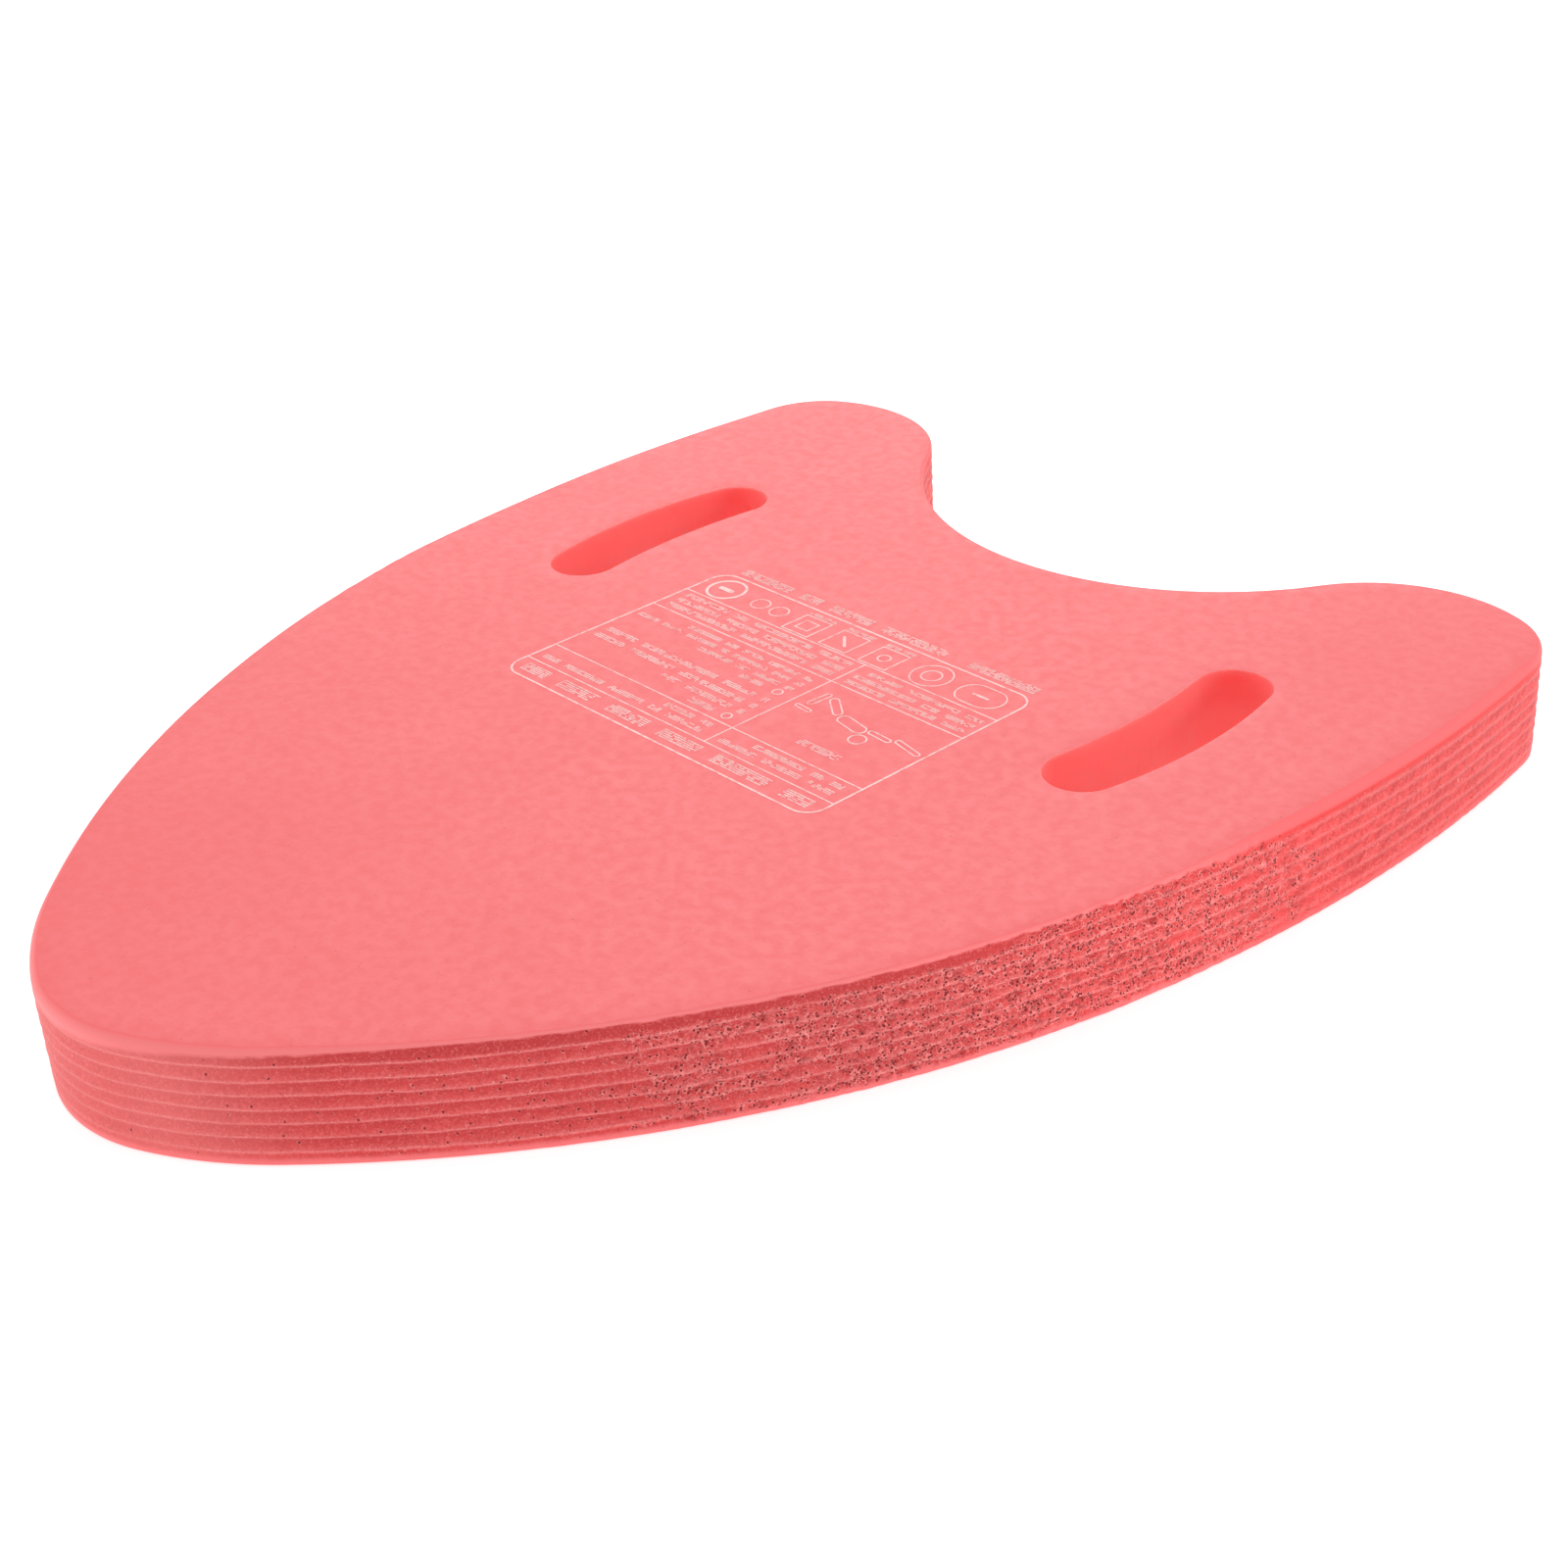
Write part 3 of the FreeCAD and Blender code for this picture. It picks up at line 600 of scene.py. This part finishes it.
def face_sink(points, gap):
    """Gentle hollows of a flat face, flat round its rims and under the printed panel."""
    random = np.random.RandomState(SEED + 1)
    across = (points[:, 0] + BOARD_WIDTH / 2) / BOARD_WIDTH
    down = (points[:, 1] + BOARD_LENGTH / 2) / BOARD_LENGTH
    swell = 0.5 + 0.5 * lattice(random, *SINK_CELLS, across, down)
    reach_x = np.abs(points[:, 0] - PANEL_CENTRE[0]) - PANEL_SIZE[0] / 2
    reach_y = np.abs(points[:, 1] - PANEL_CENTRE[1]) - PANEL_SIZE[1] / 2
    clear = ramp(np.maximum(reach_x, reach_y), *PANEL_MARGIN)
    return SINK_DEPTH * swell * clear * ramp(gap, *RIM_MARGIN)


# ---------------------------------------------------------------- foam board mesh

def wall_ring(loop, direction, offset, heights):
    """Points of a wall, column by column: a loop moved sideways by an offset for each row."""
    ring = np.empty((*heights.shape, 3))
    ring[:, :, :2] = loop[:, None, :] + direction[:, None, :] * offset[:, :, None]
    ring[:, :, 2] = heights
    return ring


def grid_faces(first, columns, rows):
    """Quads of a closed band of columns x rows, outward for a counter-clockwise loop."""
    column, row = np.meshgrid(np.arange(columns), np.arange(rows - 1), indexing="ij")
    after = (column + 1) % columns
    a, b = first + column * rows + row, first + column * rows + row + 1
    c, d = first + after * rows + row + 1, first + after * rows + row
    return np.stack([a, b, c, d], axis=-1).reshape(-1, 4)


def face_points(board, slots):
    """Inner points of the flat faces: a staggered grid that stays clear of every rim."""
    step_y = FACE_STEP * math.sqrt(3) / 2
    points = []
    for number in range(math.ceil(BOARD_LENGTH / step_y)):
        y = -BOARD_LENGTH / 2 + number * step_y
        shift = FACE_STEP / 2 * (number % 2)
        for x in np.arange(-BOARD_WIDTH / 2 + shift, BOARD_WIDTH / 2, FACE_STEP):
            points.append((x, y))
    points = np.array(points)
    inside = polygon_contains(board, points)
    for slot in slots:
        inside &= ~polygon_contains(slot, points)
    points = points[inside]
    gap = nearest_gap(points, np.concatenate([board] + slots))
    return points[gap > RIM_CLEARANCE]


def polygon_contains(loop, points):
    """Which points lie inside a closed loop, by counting crossings."""
    x, y = points[:, 0][:, None], points[:, 1][:, None]
    x0, y0 = loop[:, 0][None, :], loop[:, 1][None, :]
    x1, y1 = np.roll(loop[:, 0], -1)[None, :], np.roll(loop[:, 1], -1)[None, :]
    spans = (y0 > y) != (y1 > y)
    with np.errstate(divide="ignore", invalid="ignore"):
        crossing = x0 + (y - y0) * (x1 - x0) / (y1 - y0)
    return (np.sum(spans & (x < crossing), axis=1) % 2) == 1


def nearest_gap(points, loops):
    """Distance from each point to the nearest loop point."""
    gaps = []
    for part in np.array_split(points, LOTS):
        if len(part):
            delta = part[:, None, :] - loops[None, :, :]
            gaps.append(np.sqrt((delta ** 2).sum(axis=2)).min(axis=1))
    return np.concatenate(gaps)


def triangulate(loops, inner):
    """Triangles of a flat face between its loops; indices run over loops, then inner points."""
    flat = np.concatenate(loops + [inner])
    edges, first = [], 0
    for loop in loops:
        count = len(loop)
        edges += [(first + i, first + (i + 1) % count) for i in range(count)]
        first += count
    verts = [Vector((x, y)) for x, y in flat]
    _, _, faces, origins, _, _ = delaunay_2d_cdt(verts, edges, [], INSIDE_OUTLINES, WELD)
    back = np.array([origin[0] for origin in origins])
    triangles = back[np.array(faces)]
    middle = flat[triangles].mean(axis=1)
    for slot in loops[1:]:
        hollow = polygon_contains(slot, middle)
        triangles, middle = triangles[~hollow], middle[~hollow]
    a, b, c = flat[triangles[:, 0]], flat[triangles[:, 1]], flat[triangles[:, 2]]
    area = (b[:, 0] - a[:, 0]) * (c[:, 1] - a[:, 1]) - (b[:, 1] - a[:, 1]) * (c[:, 0] - a[:, 0])
    triangles[area < 0] = triangles[area < 0][:, ::-1]
    return triangles


def foam_walls():
    """The fluted outer wall and both slot walls as rings of points, and the outer wall's masks."""
    outline, outward, along = board_loop()
    heights, insets = edge_profile(rim_radii(along), LOW_ROUND, WALL_ROWS)
    relief, masks = wall_relief(along, heights)
    relief[:, [0, -1]] = 0
    rings = [wall_ring(outline, outward, relief - insets, heights)]
    for side in (1, -1):
        loop, into_foam = slot_loop(side)
        heights, insets = edge_profile(np.full(len(loop), SLOT_ROUND), SLOT_ROUND, SLOT_ROWS)
        rings.append(wall_ring(loop, into_foam, insets, heights))
    return rings, masks


def foam_mesh(name):
    """One closed mesh: the walls, and the two flat faces between them."""
    rings, masks = foam_walls()
    verts, faces, kinds, starts = [], [], [], []
    first = 0
    for ring, kind, turn in zip(rings, (WALL, SLOT, SLOT), (1, -1, -1)):
        columns, rows = ring.shape[:2]
        verts.append(ring.reshape(-1, 3))
        faces.append(grid_faces(first, columns, rows)[:, ::turn])
        kinds.append(kind)
        starts.append(first)
        first += columns * rows

    loops = [ring[:, 0, :2] for ring in rings]
    inner = face_points(loops[0], loops[1:])
    sink = face_sink(inner, nearest_gap(inner, np.concatenate(loops)))
    triangles = triangulate(loops, inner)
    for row, height, turn in ((0, THICKNESS - sink, 1), (-1, 0 * sink, -1)):
        index = [start + np.arange(len(ring)) * ring.shape[1] + row % ring.shape[1]
                 for start, ring in zip(starts, rings)]
        index = np.concatenate(index + [first + np.arange(len(inner))])
        verts.append(np.column_stack([inner, height]))
        faces.append(index[triangles][:, ::turn])
        kinds.append(SKIN)
        first += len(inner)

    mesh = bpy.data.meshes.new(name)
    points = np.concatenate(verts) * MM
    mesh.from_pydata(points.tolist(), [], [face for part in faces for face in part.tolist()])
    numbers = np.repeat(kinds, [len(part) for part in faces]).astype(np.int32)
    mesh.polygons.foreach_set("material_index", numbers)
    mesh.polygons.foreach_set("use_smooth", np.ones(len(mesh.polygons), dtype=bool))
    for label, mask in masks.items():
        values = np.zeros(len(points), dtype=np.float32)
        values[:mask.size] = mask.reshape(-1)
        mesh.attributes.new(label, "FLOAT", "POINT").data.foreach_set("value", values)
    mesh.update()
    return mesh


# ---------------------------------------------------------------- printed text marks

def islands(mesh):
    """Corner points of every separate solid of a mesh."""
    work = bmesh.new()
    work.from_mesh(mesh)
    bmesh.ops.remove_doubles(work, verts=work.verts, dist=WELD)
    seen, groups = set(), []
    for start in work.verts:
        if start in seen:
            continue
        stack, group = [start], []
        seen.add(start)
        while stack:
            here = stack.pop()
            group.append(here.co.copy())
            for edge in here.link_edges:
                other = edge.other_vert(here)
                if other not in seen:
                    seen.add(other)
                    stack.append(other)
        groups.append(group)
    work.free()
    return groups


def to_panel(point):
    """A point of the board as (across, up) on the panel as it is read."""
    turn = math.pi - PANEL_TILT
    x, y = point.x / MM - PANEL_CENTRE[0], point.y / MM - PANEL_CENTRE[1]
    return (x * math.cos(turn) + y * math.sin(turn), y * math.cos(turn) - x * math.sin(turn))


def from_panel(across, up):
    """The board's point for a point (across, up) of the panel."""
    turn = math.pi - PANEL_TILT
    return (PANEL_CENTRE[0] + across * math.cos(turn) - up * math.sin(turn),
            PANEL_CENTRE[1] + across * math.sin(turn) + up * math.cos(turn))


def add_mark(work, corners, low, high):
    """Closed flat prism over a convex outline given in panel coordinates."""
    rings = []
    for height in (low, high):
        rings.append([work.verts.new((*[MM * v for v in from_panel(*corner)], MM * height))
                      for corner in corners])
    work.faces.new(rings[1])
    work.faces.new(rings[0][::-1])
    count = len(corners)
    for i in range(count):
        after = (i + 1) % count
        work.faces.new((rings[0][i], rings[0][after], rings[1][after], rings[1][i]))


def word_dashes(random, left, low, width, height):
    """Rows of short dashes and dots that fill one word's bar without forming any letter."""
    fewest, most = DASH_LINES
    lines = min(most, max(fewest, round(height / DASH_ROW)))
    columns = max(fewest, round(width / DASH_COLUMN))
    pitch, advance = height / lines, width / columns
    thick, gap = DASH_THICK * pitch, DASH_GAP * advance
    boxes = []
    for line in range(lines):
        base = low + (line + 0.5) * pitch - thick / 2
        column = 0
        while column < columns:
            run = min(1 + random.randint(LONGEST_DASH), columns - column)
            if random.random_sample() < DASH_CHANCE:
                start = left + column * advance + gap / 2
                end = left + (column + run) * advance - gap / 2
                boxes.append([(start, base), (end, base), (end, base + thick),
                              (start, base + thick)])
            column += run
    return boxes


def text_marks(name, node):
    """Greeked text: every word is a cluster of dashes inside the CAD's own bar for it."""
    random = np.random.RandomState(SEED + 2)
    work = bmesh.new()
    for group in islands(node.data):
        flat = np.array([to_panel(point) for point in group])
        (left, low), (right, high) = flat.min(axis=0), flat.max(axis=0)
        for corners in word_dashes(random, left, low, right - left, high - low):
            add_mark(work, corners, THICKNESS, THICKNESS + INK_THICKNESS)
    bmesh.ops.recalc_face_normals(work, faces=work.faces)
    mesh = bpy.data.meshes.new(name)
    work.to_mesh(mesh)
    work.free()
    return mesh


# ---------------------------------------------------------------- material nodes

def add(tree, kind, inputs=(), **settings):
    """A node with its settings, and its inputs given as values or as sockets to link."""
    item = tree.nodes.new(kind)
    for key, value in settings.items():
        setattr(item, key, value)
    for key, value in dict(inputs).items():
        if isinstance(value, bpy.types.NodeSocket):
            tree.links.new(value, item.inputs[key])
        else:
            item.inputs[key].default_value = value
    return item


def new_tree(name):
    """A new node material and its tree."""
    material = bpy.data.materials.new(name)
    material.use_nodes = True
    return material, material.node_tree


def place_of(tree, stretch=(1, 1, 1)):
    """Place on the object in metres, stretched along its axes."""
    where = add(tree, "ShaderNodeTexCoord").outputs["Object"]
    return add(tree, "ShaderNodeMapping", {"Vector": where, "Scale": stretch}).outputs[0]


def noise_of(tree, vector, scale, detail=2.0, rough=0.5):
    """Noise with a number of cells per metre."""
    return add(tree, "ShaderNodeTexNoise", {"Vector": vector, "Scale": scale, "Detail": detail,
                                            "Roughness": rough}).outputs["Fac"]


def cells_of(tree, vector, scale, **settings):
    """Voronoi cells, a number of them per metre."""
    return add(tree, "ShaderNodeTexVoronoi", {"Vector": vector, "Scale": scale}, **settings)


def ranged(tree, value, span, ends=(0.0, 1.0)):
    """A value taken smoothly from one span to other ends."""
    return add(tree, "ShaderNodeMapRange",
               {"Value": value, "From Min": span[0], "From Max": span[1], "To Min": ends[0],
                "To Max": ends[1]}, interpolation_type="SMOOTHSTEP").outputs[0]


def maths(tree, operation, first, second=0.0):
    """The result of one Math node."""
    return add(tree, "ShaderNodeMath", {0: first, 1: second}, operation=operation).outputs[0]


def times(tree, first, second):
    """Product of two values."""
    return maths(tree, "MULTIPLY", first, second)


def highest(tree, *values):
    """The highest of several values."""
    result = values[0]
    for value in values[1:]:
        result = maths(tree, "MAXIMUM", result, value)
    return result


def mixed(tree, factor, first, second, **settings):
    """Two colours mixed by a factor."""
    return add(tree, "ShaderNodeMix", {0: factor, 6: first, 7: second},
               data_type="RGBA", **settings).outputs[2]


def mask_of(tree, label, share=1.0):
    """A mask of the outer wall, or a share of it."""
    mask = add(tree, "ShaderNodeAttribute", attribute_name=label).outputs["Fac"]
    return mask if share == 1.0 else times(tree, mask, share)


def finish_material(tree, colour, height, distance, strength, roughness, specular):
    """Sets the shader's colour, bump, roughness and specular level."""
    shader = tree.nodes["Principled BSDF"]
    bump = add(tree, "ShaderNodeBump", {"Height": height, "Distance": distance,
                                        "Strength": strength})
    tree.links.new(bump.outputs[0], shader.inputs["Normal"])
    tree.links.new(colour, shader.inputs["Base Color"])
    if isinstance(roughness, bpy.types.NodeSocket):
        tree.links.new(roughness, shader.inputs["Roughness"])
    else:
        shader.inputs["Roughness"].default_value = roughness
    shader.inputs["Specular IOR Level"].default_value = specular


def glow_through(tree, weight, scale):
    """Light that enters the foam nearby and leaves redder."""
    shader = tree.nodes["Principled BSDF"]
    shader.inputs["Subsurface Weight"].default_value = weight
    shader.inputs["Subsurface Radius"].default_value = FOAM_GLOW
    shader.inputs["Subsurface Scale"].default_value = scale


def add_fuzz(tree, weight, roughness=0.45):
    """Soft bloom at grazing angles from the fine open cells."""
    shader = tree.nodes["Principled BSDF"]
    shader.inputs["Sheen Weight"].default_value = weight
    shader.inputs["Sheen Roughness"].default_value = roughness


# ---------------------------------------------------------------- materials

def skin_material():
    """Top and bottom faces: smooth matte foam with very fine cells and a few dark specks."""
    material, tree = new_tree("foam_skin")
    where = place_of(tree)
    tone = noise_of(tree, where, scale=14, detail=3)
    cells = noise_of(tree, where, scale=950, rough=0.6)
    mottle = noise_of(tree, where, scale=260, detail=3, rough=0.55)
    speck = ranged(tree, noise_of(tree, where, scale=820, detail=1), span=(0.73, 0.80))
    patchy = ranged(tree, mottle, span=(0.35, 0.7), ends=(0.0, 0.40))
    colour = mixed(tree, ranged(tree, tone, span=(0.35, 0.65)), SKIN_LOW, SKIN_HIGH)
    colour = mixed(tree, patchy, colour, SKIN_MOTTLE)
    colour = mixed(tree, times(tree, speck, SPECK_SHARE), colour, SKIN_SPECK)
    height = maths(tree, "ADD", cells, times(tree, mottle, MOTTLE_RELIEF))
    height = maths(tree, "SUBTRACT", height, speck)
    rough = ranged(tree, mottle, span=(0.3, 0.7), ends=(0.55, 0.68))
    finish_material(tree, colour, height, distance=0.00012, strength=0.35, roughness=rough,
                    specular=0.8)
    add_fuzz(tree, weight=0.12)
    return material


def open_cells(tree, where, torn):
    """Holes of the torn foam, which the wall's colour darkens as painted shade, and the pale rims of
    the cells round them, in clusters.
    """
    cell = cells_of(tree, where, scale=1250.0)
    distance = cell.outputs["Distance"]
    pick = add(tree, "ShaderNodeSeparateColor", {"Color": cell.outputs["Color"]}).outputs[0]
    cluster = ranged(tree, noise_of(tree, where, scale=230, detail=3, rough=0.6), span=(0.30, 0.62))
    density = times(tree, torn, cluster)
    is_hole = maths(tree, "GREATER_THAN", pick, ranged(tree, density, (0.0, 0.8), (0.997, 0.60)))
    has_rim = maths(tree, "GREATER_THAN", pick, ranged(tree, density, (0.0, 0.8), (0.999, 0.55)))
    holes = times(tree, is_hole, ranged(tree, distance, span=(0.34, 0.56), ends=(1, 0)))
    rims = times(tree, has_rim, ranged(tree, distance, span=(0.48, 0.62), ends=(0, 0.9)))
    return holes, rims


def torn_shreds(tree, where, torn):
    """Pale hair-like strands and longer tears of the cut foam."""
    strand = noise_of(tree, where, scale=480, rough=0.7)
    strand = maths(tree, "ABSOLUTE", maths(tree, "SUBTRACT", strand, 0.5))
    strand = ranged(tree, strand, span=(0.005, 0.020), ends=(1, 0))
    strand = times(tree, strand, ranged(tree, torn, span=(0.05, 0.8), ends=(0.0, 0.7)))
    near_crest = ranged(tree, mask_of(tree, "ridge"), span=(0, 1), ends=(0.3, 1.0))
    tears = cells_of(tree, where, scale=250.0, feature="DISTANCE_TO_EDGE").outputs["Distance"]
    tears = times(tree, ranged(tree, tears, span=(0.015, 0.04), ends=(1, 0)),
                  ranged(tree, torn, span=(0.1, 0.7), ends=(0.0, 0.35)))
    return highest(tree, times(tree, strand, near_crest), tears)


def wall_ground(tree, where, fine, torn):
    """Colour of the cut foam without its crests, cells and shreds."""
    tone = noise_of(tree, where, scale=45, detail=3)
    blotch = noise_of(tree, where, scale=620, detail=3, rough=0.6)
    uneven = highest(tree, ranged(tree, torn, span=(0.0, 0.8), ends=(0.3, 1.0)),
                     mask_of(tree, "calm", CALM_SHARE))
    dark_blotch = times(tree, ranged(tree, blotch, (0.36, 0.52), (1.0, 0.0)), uneven)
    pale_blotch = times(tree, ranged(tree, blotch, (0.54, 0.70), (0.0, 0.3)), uneven)
    colour = mixed(tree, ranged(tree, tone, span=(0.35, 0.65)), WALL_LOW, WALL_HIGH)
    layers = [
        # Painted light towards the shoulders.
        (mask_of(tree, "painted_side_light", PAINTED_SIDE_LIGHT_SHARE), WALL_PAINTED_SIDE_LIGHT),
        # Painted shade under the crests.
        (mask_of(tree, "shade", SHADE_SHARE), WALL_DARK_AND_SHADE),
        # Painted shade in the smooth band under the top rim.
        (mask_of(tree, "band"), WALL_DARK_AND_SHADE),
        (times(tree, torn, TORN_SHARE), WALL_DARK_AND_SHADE),
        (ranged(tree, fine, (0.30, 0.48), (0.35, 0.0)), WALL_DARK_AND_SHADE),
        (dark_blotch, WALL_DARK_AND_SHADE),
        (pale_blotch, WALL_PALE),
        (ranged(tree, fine, (0.52, 0.70), (0.0, 0.35)), WALL_PALE),
        # Painted light round the tip.
        (mask_of(tree, "pale", TIP_PAINTED_LIGHT_SHARE), WALL_PALE),
    ]
    for factor, layer in layers:
        colour = mixed(tree, factor, colour, layer)
    return colour


def wall_material():
    """Wire-cut outer wall: darker foam, crest lines painted pale as highlights, and torn cells with
    pale flecks and painted shade in their holes.
    """
    material, tree = new_tree("foam_wall")
    where = place_of(tree)
    torn, skin = mask_of(tree, "torn"), mask_of(tree, "skin")
    bare = maths(tree, "SUBTRACT", 1.0, skin)
    fine = noise_of(tree, where, scale=1500, rough=0.7)
    holes, cell_rims = open_cells(tree, where, torn)
    # The open cells are real holes; their darkening is painted shade.
    dark = times(tree, highest(tree, holes, mask_of(tree, "pit", PIT_SHARE)), bare)
    shreds = highest(tree, torn_shreds(tree, where, torn), cell_rims,
                     mask_of(tree, "fleck", FLECK_SHARE))
    shreds = times(tree, shreds, bare)
    crest = times(tree, mask_of(tree, "crest"), ranged(tree, fine, (0.36, 0.50), (0.45, 1.0)))
    crest = times(tree, crest, maths(tree, "ADD", CREST_ON_SKIN,
                                     times(tree, bare, 1 - CREST_ON_SKIN)))

    colour = wall_ground(tree, where, fine, torn)
    # Painted light: away from the flat-face colour the rims take a paler colour, for the light the
    # rounded rims catch and, at the foot, the light bounced from the floor.
    skin_colour = mixed(tree, mask_of(tree, "flat_rim"), RIM_PAINTED_LIGHT, SKIN_HIGH)
    colour = mixed(tree, skin, colour, skin_colour)
    # Painted shade under the shoulders' soft rim.
    colour = mixed(tree, mask_of(tree, "rim_shade"), colour, SHADE_UNDER_RIM)
    # Painted highlight: the crest lines and the ledge above each are painted pale where they catch
    # the light from above.
    colour = mixed(tree, times(tree, crest, CREST_HIGHLIGHT_SHARE), colour, WALL_PALE)
    colour = mixed(tree, times(tree, shreds, SHRED_SHARE), colour, WALL_FLECK)
    # Painted light: red added towards the shoulders, for the light that falls on that side.
    colour = mixed(tree, mask_of(tree, "painted_side_light"), colour, PAINTED_SIDE_LIGHT_TINT, blend_type="ADD",
                   clamp_result=True)
    # Painted shade in the open cells.
    colour = mixed(tree, times(tree, dark, PIT_SHADE_SHARE), colour, WALL_PIT_SHADE)
    height = maths(tree, "ADD", fine, highest(tree, crest, shreds))
    height = maths(tree, "SUBTRACT", height, times(tree, dark, DARK_RELIEF))
    finish_material(tree, colour, height, distance=0.00025, strength=0.5, roughness=0.72,
                    specular=0.25)
    add_fuzz(tree, weight=0.2)
    return material


def slot_material():
    """Die-cut slot walls: saturated, smoother foam with faint streaks down the cut, and painted
    shade towards the top rim, where more light falls."""
    material, tree = new_tree("foam_slot_cut")
    where = place_of(tree)
    tone = noise_of(tree, where, scale=40, detail=3)
    streak = noise_of(tree, place_of(tree, stretch=(1, 1, 0.12)), scale=700, rough=0.6)
    cells = noise_of(tree, where, scale=1100, rough=0.6)
    height = add(tree, "ShaderNodeSeparateXYZ", {"Vector": where}).outputs["Z"]
    near_top = ranged(tree, height, span=(SLOT_SHADE_FROM * MM, THICKNESS * MM))
    colour = mixed(tree, ranged(tree, tone, span=(0.35, 0.65)), SLOT_LOW, SLOT_HIGH)
    colour = mixed(tree, ranged(tree, streak, (0.5, 0.8), (0.0, 0.35)), colour, SLOT_STREAK)
    # Painted shade towards the top rim, which evens out the light falling there.
    colour = mixed(tree, near_top, colour, SLOT_PAINTED_SHADE)
    finish_material(tree, colour, maths(tree, "ADD", cells, streak), distance=0.0001,
                    strength=0.35, roughness=0.65, specular=0.3)
    glow_through(tree, weight=1.0, scale=0.035)
    return material


def ink_material():
    """Thin translucent white ink: the foam shows through it, and it breaks up over the cells."""
    material, tree = new_tree("screen_ink")
    where = place_of(tree)
    worn = noise_of(tree, where, scale=420, detail=3, rough=0.65)
    patch = noise_of(tree, where, scale=60)
    cover = maths(tree, "ADD", ranged(tree, worn, span=(0.32, 0.55), ends=(0.0, 0.75)),
                  ranged(tree, patch, span=(0.3, 0.7), ends=(0.0, 0.25)))
    colour = mixed(tree, cover, INK_THIN, INK_FULL)
    finish_material(tree, colour, worn, distance=0.00004, strength=0.3, roughness=0.5,
                    specular=0.4)
    return material


def floor_material():
    """White studio floor with a faint glow, so that it shows as plain white."""
    material, tree = new_tree("floor_white")
    grain = noise_of(tree, place_of(tree), scale=30)
    colour = mixed(tree, grain, FLOOR_LOW, FLOOR_HIGH)
    finish_material(tree, colour, grain, distance=0.0001, strength=0.05, roughness=0.9,
                    specular=0.1)
    shader = tree.nodes["Principled BSDF"]
    shader.inputs["Emission Color"].default_value = WHITE
    shader.inputs["Emission Strength"].default_value = FLOOR_GLOW
    return material


# ---------------------------------------------------------------- camera, light, floor

def add_camera():
    """Camera at the photograph's viewing angle."""
    level = Vector((math.cos(YAW), math.sin(YAW), 0))
    ahead = Vector((-math.sin(YAW), math.cos(YAW), 0))
    up = Vector((0, 0, 1))
    tilt_s, tilt_c = math.sin(PITCH), math.cos(PITCH)
    roll_s, roll_c = math.sin(ROLL), math.cos(ROLL)
    right = level * roll_c + ahead * (roll_s * tilt_s) + up * (roll_s * tilt_c)
    down = level * roll_s - ahead * (roll_c * tilt_s) - up * (roll_c * tilt_c)
    forward = ahead * tilt_c - up * tilt_s
    data = bpy.data.cameras.new("camera")
    data.lens = LENS
    data.sensor_width = SENSOR_WIDTH
    data.clip_start = CLIP_START
    camera = bpy.data.objects.new("camera", data)
    axes = Matrix((right, -down, -forward)).transposed().to_4x4()
    camera.matrix_world = Matrix.Translation(CAMERA_PLACE) @ axes
    bpy.context.scene.collection.objects.link(camera)
    bpy.context.scene.camera = camera


def add_light(name, place, size, power):
    """A rectangular soft box that faces the board."""
    data = bpy.data.lights.new(name, "AREA")
    data.shape = "RECTANGLE"
    data.size, data.size_y = size
    data.energy = power
    light = bpy.data.objects.new(name, data)
    turn = (Vector(LIGHT_TARGET) - Vector(place)).to_track_quat("-Z", "Y")
    light.matrix_world = Matrix.Translation(place) @ turn.to_matrix().to_4x4()
    bpy.context.scene.collection.objects.link(light)


def add_studio():
    """Even white world light and four soft boxes."""
    scene = bpy.context.scene
    scene.view_settings.view_transform = "Standard"
    scene.world = bpy.data.worlds.new("studio")
    scene.world.use_nodes = True
    background = scene.world.node_tree.nodes["Background"]
    background.inputs["Color"].default_value = WHITE
    background.inputs["Strength"].default_value = WORLD_STRENGTH
    add_light("overhead", place=(-0.3, 0.3, 1.6), size=(1.6, 1.6), power=10.5)
    add_light("back_box", place=(-1.7, 1.7, 1.0), size=(1.6, 1.2), power=16)
    add_light("right_box", place=(1.5, 0.9, 0.45), size=(1.0, 0.8), power=12)
    add_light("left_box", place=(-1.1, -1.5, 0.45), size=(1.0, 0.8), power=11.5)


def add_floor():
    """Plain floor just under the board."""
    mesh = bpy.data.meshes.new("floor")
    corners = [(x * FLOOR_REACH, y * FLOOR_REACH, 0) for x, y in ((-1, -1), (1, -1), (1, 1), (-1, 1))]
    mesh.from_pydata(corners, [], [(0, 1, 2, 3)])
    mesh.materials.append(floor_material())
    floor = bpy.data.objects.new("floor", mesh)
    floor.location.z = -FLOOR_DROP
    bpy.context.scene.collection.objects.link(floor)


# ---------------------------------------------------------------- assembly

def add_piece(mesh, materials, node):
    """Puts a finished mesh in the scene in place of its CAD node."""
    piece = bpy.data.objects.new(mesh.name, mesh)
    for material in materials:
        mesh.materials.append(material)
    bpy.context.scene.collection.objects.link(piece)
    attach(piece, "root")
    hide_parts(node)
    return piece


add_camera()
add_studio()
add_floor()
foam_materials = [skin_material(), wall_material(), slot_material()]
board = add_piece(foam_mesh("foam_board_skin"), foam_materials, "foam_board")
ink = ink_material()
add_piece(text_marks("printed_text_marks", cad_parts["printed_text"]), [ink],
          "printed_text")
for label in ("printed_frame", "printed_symbols", "printed_swimmer"):
    for part_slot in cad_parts[label].material_slots:
        part_slot.material = ink
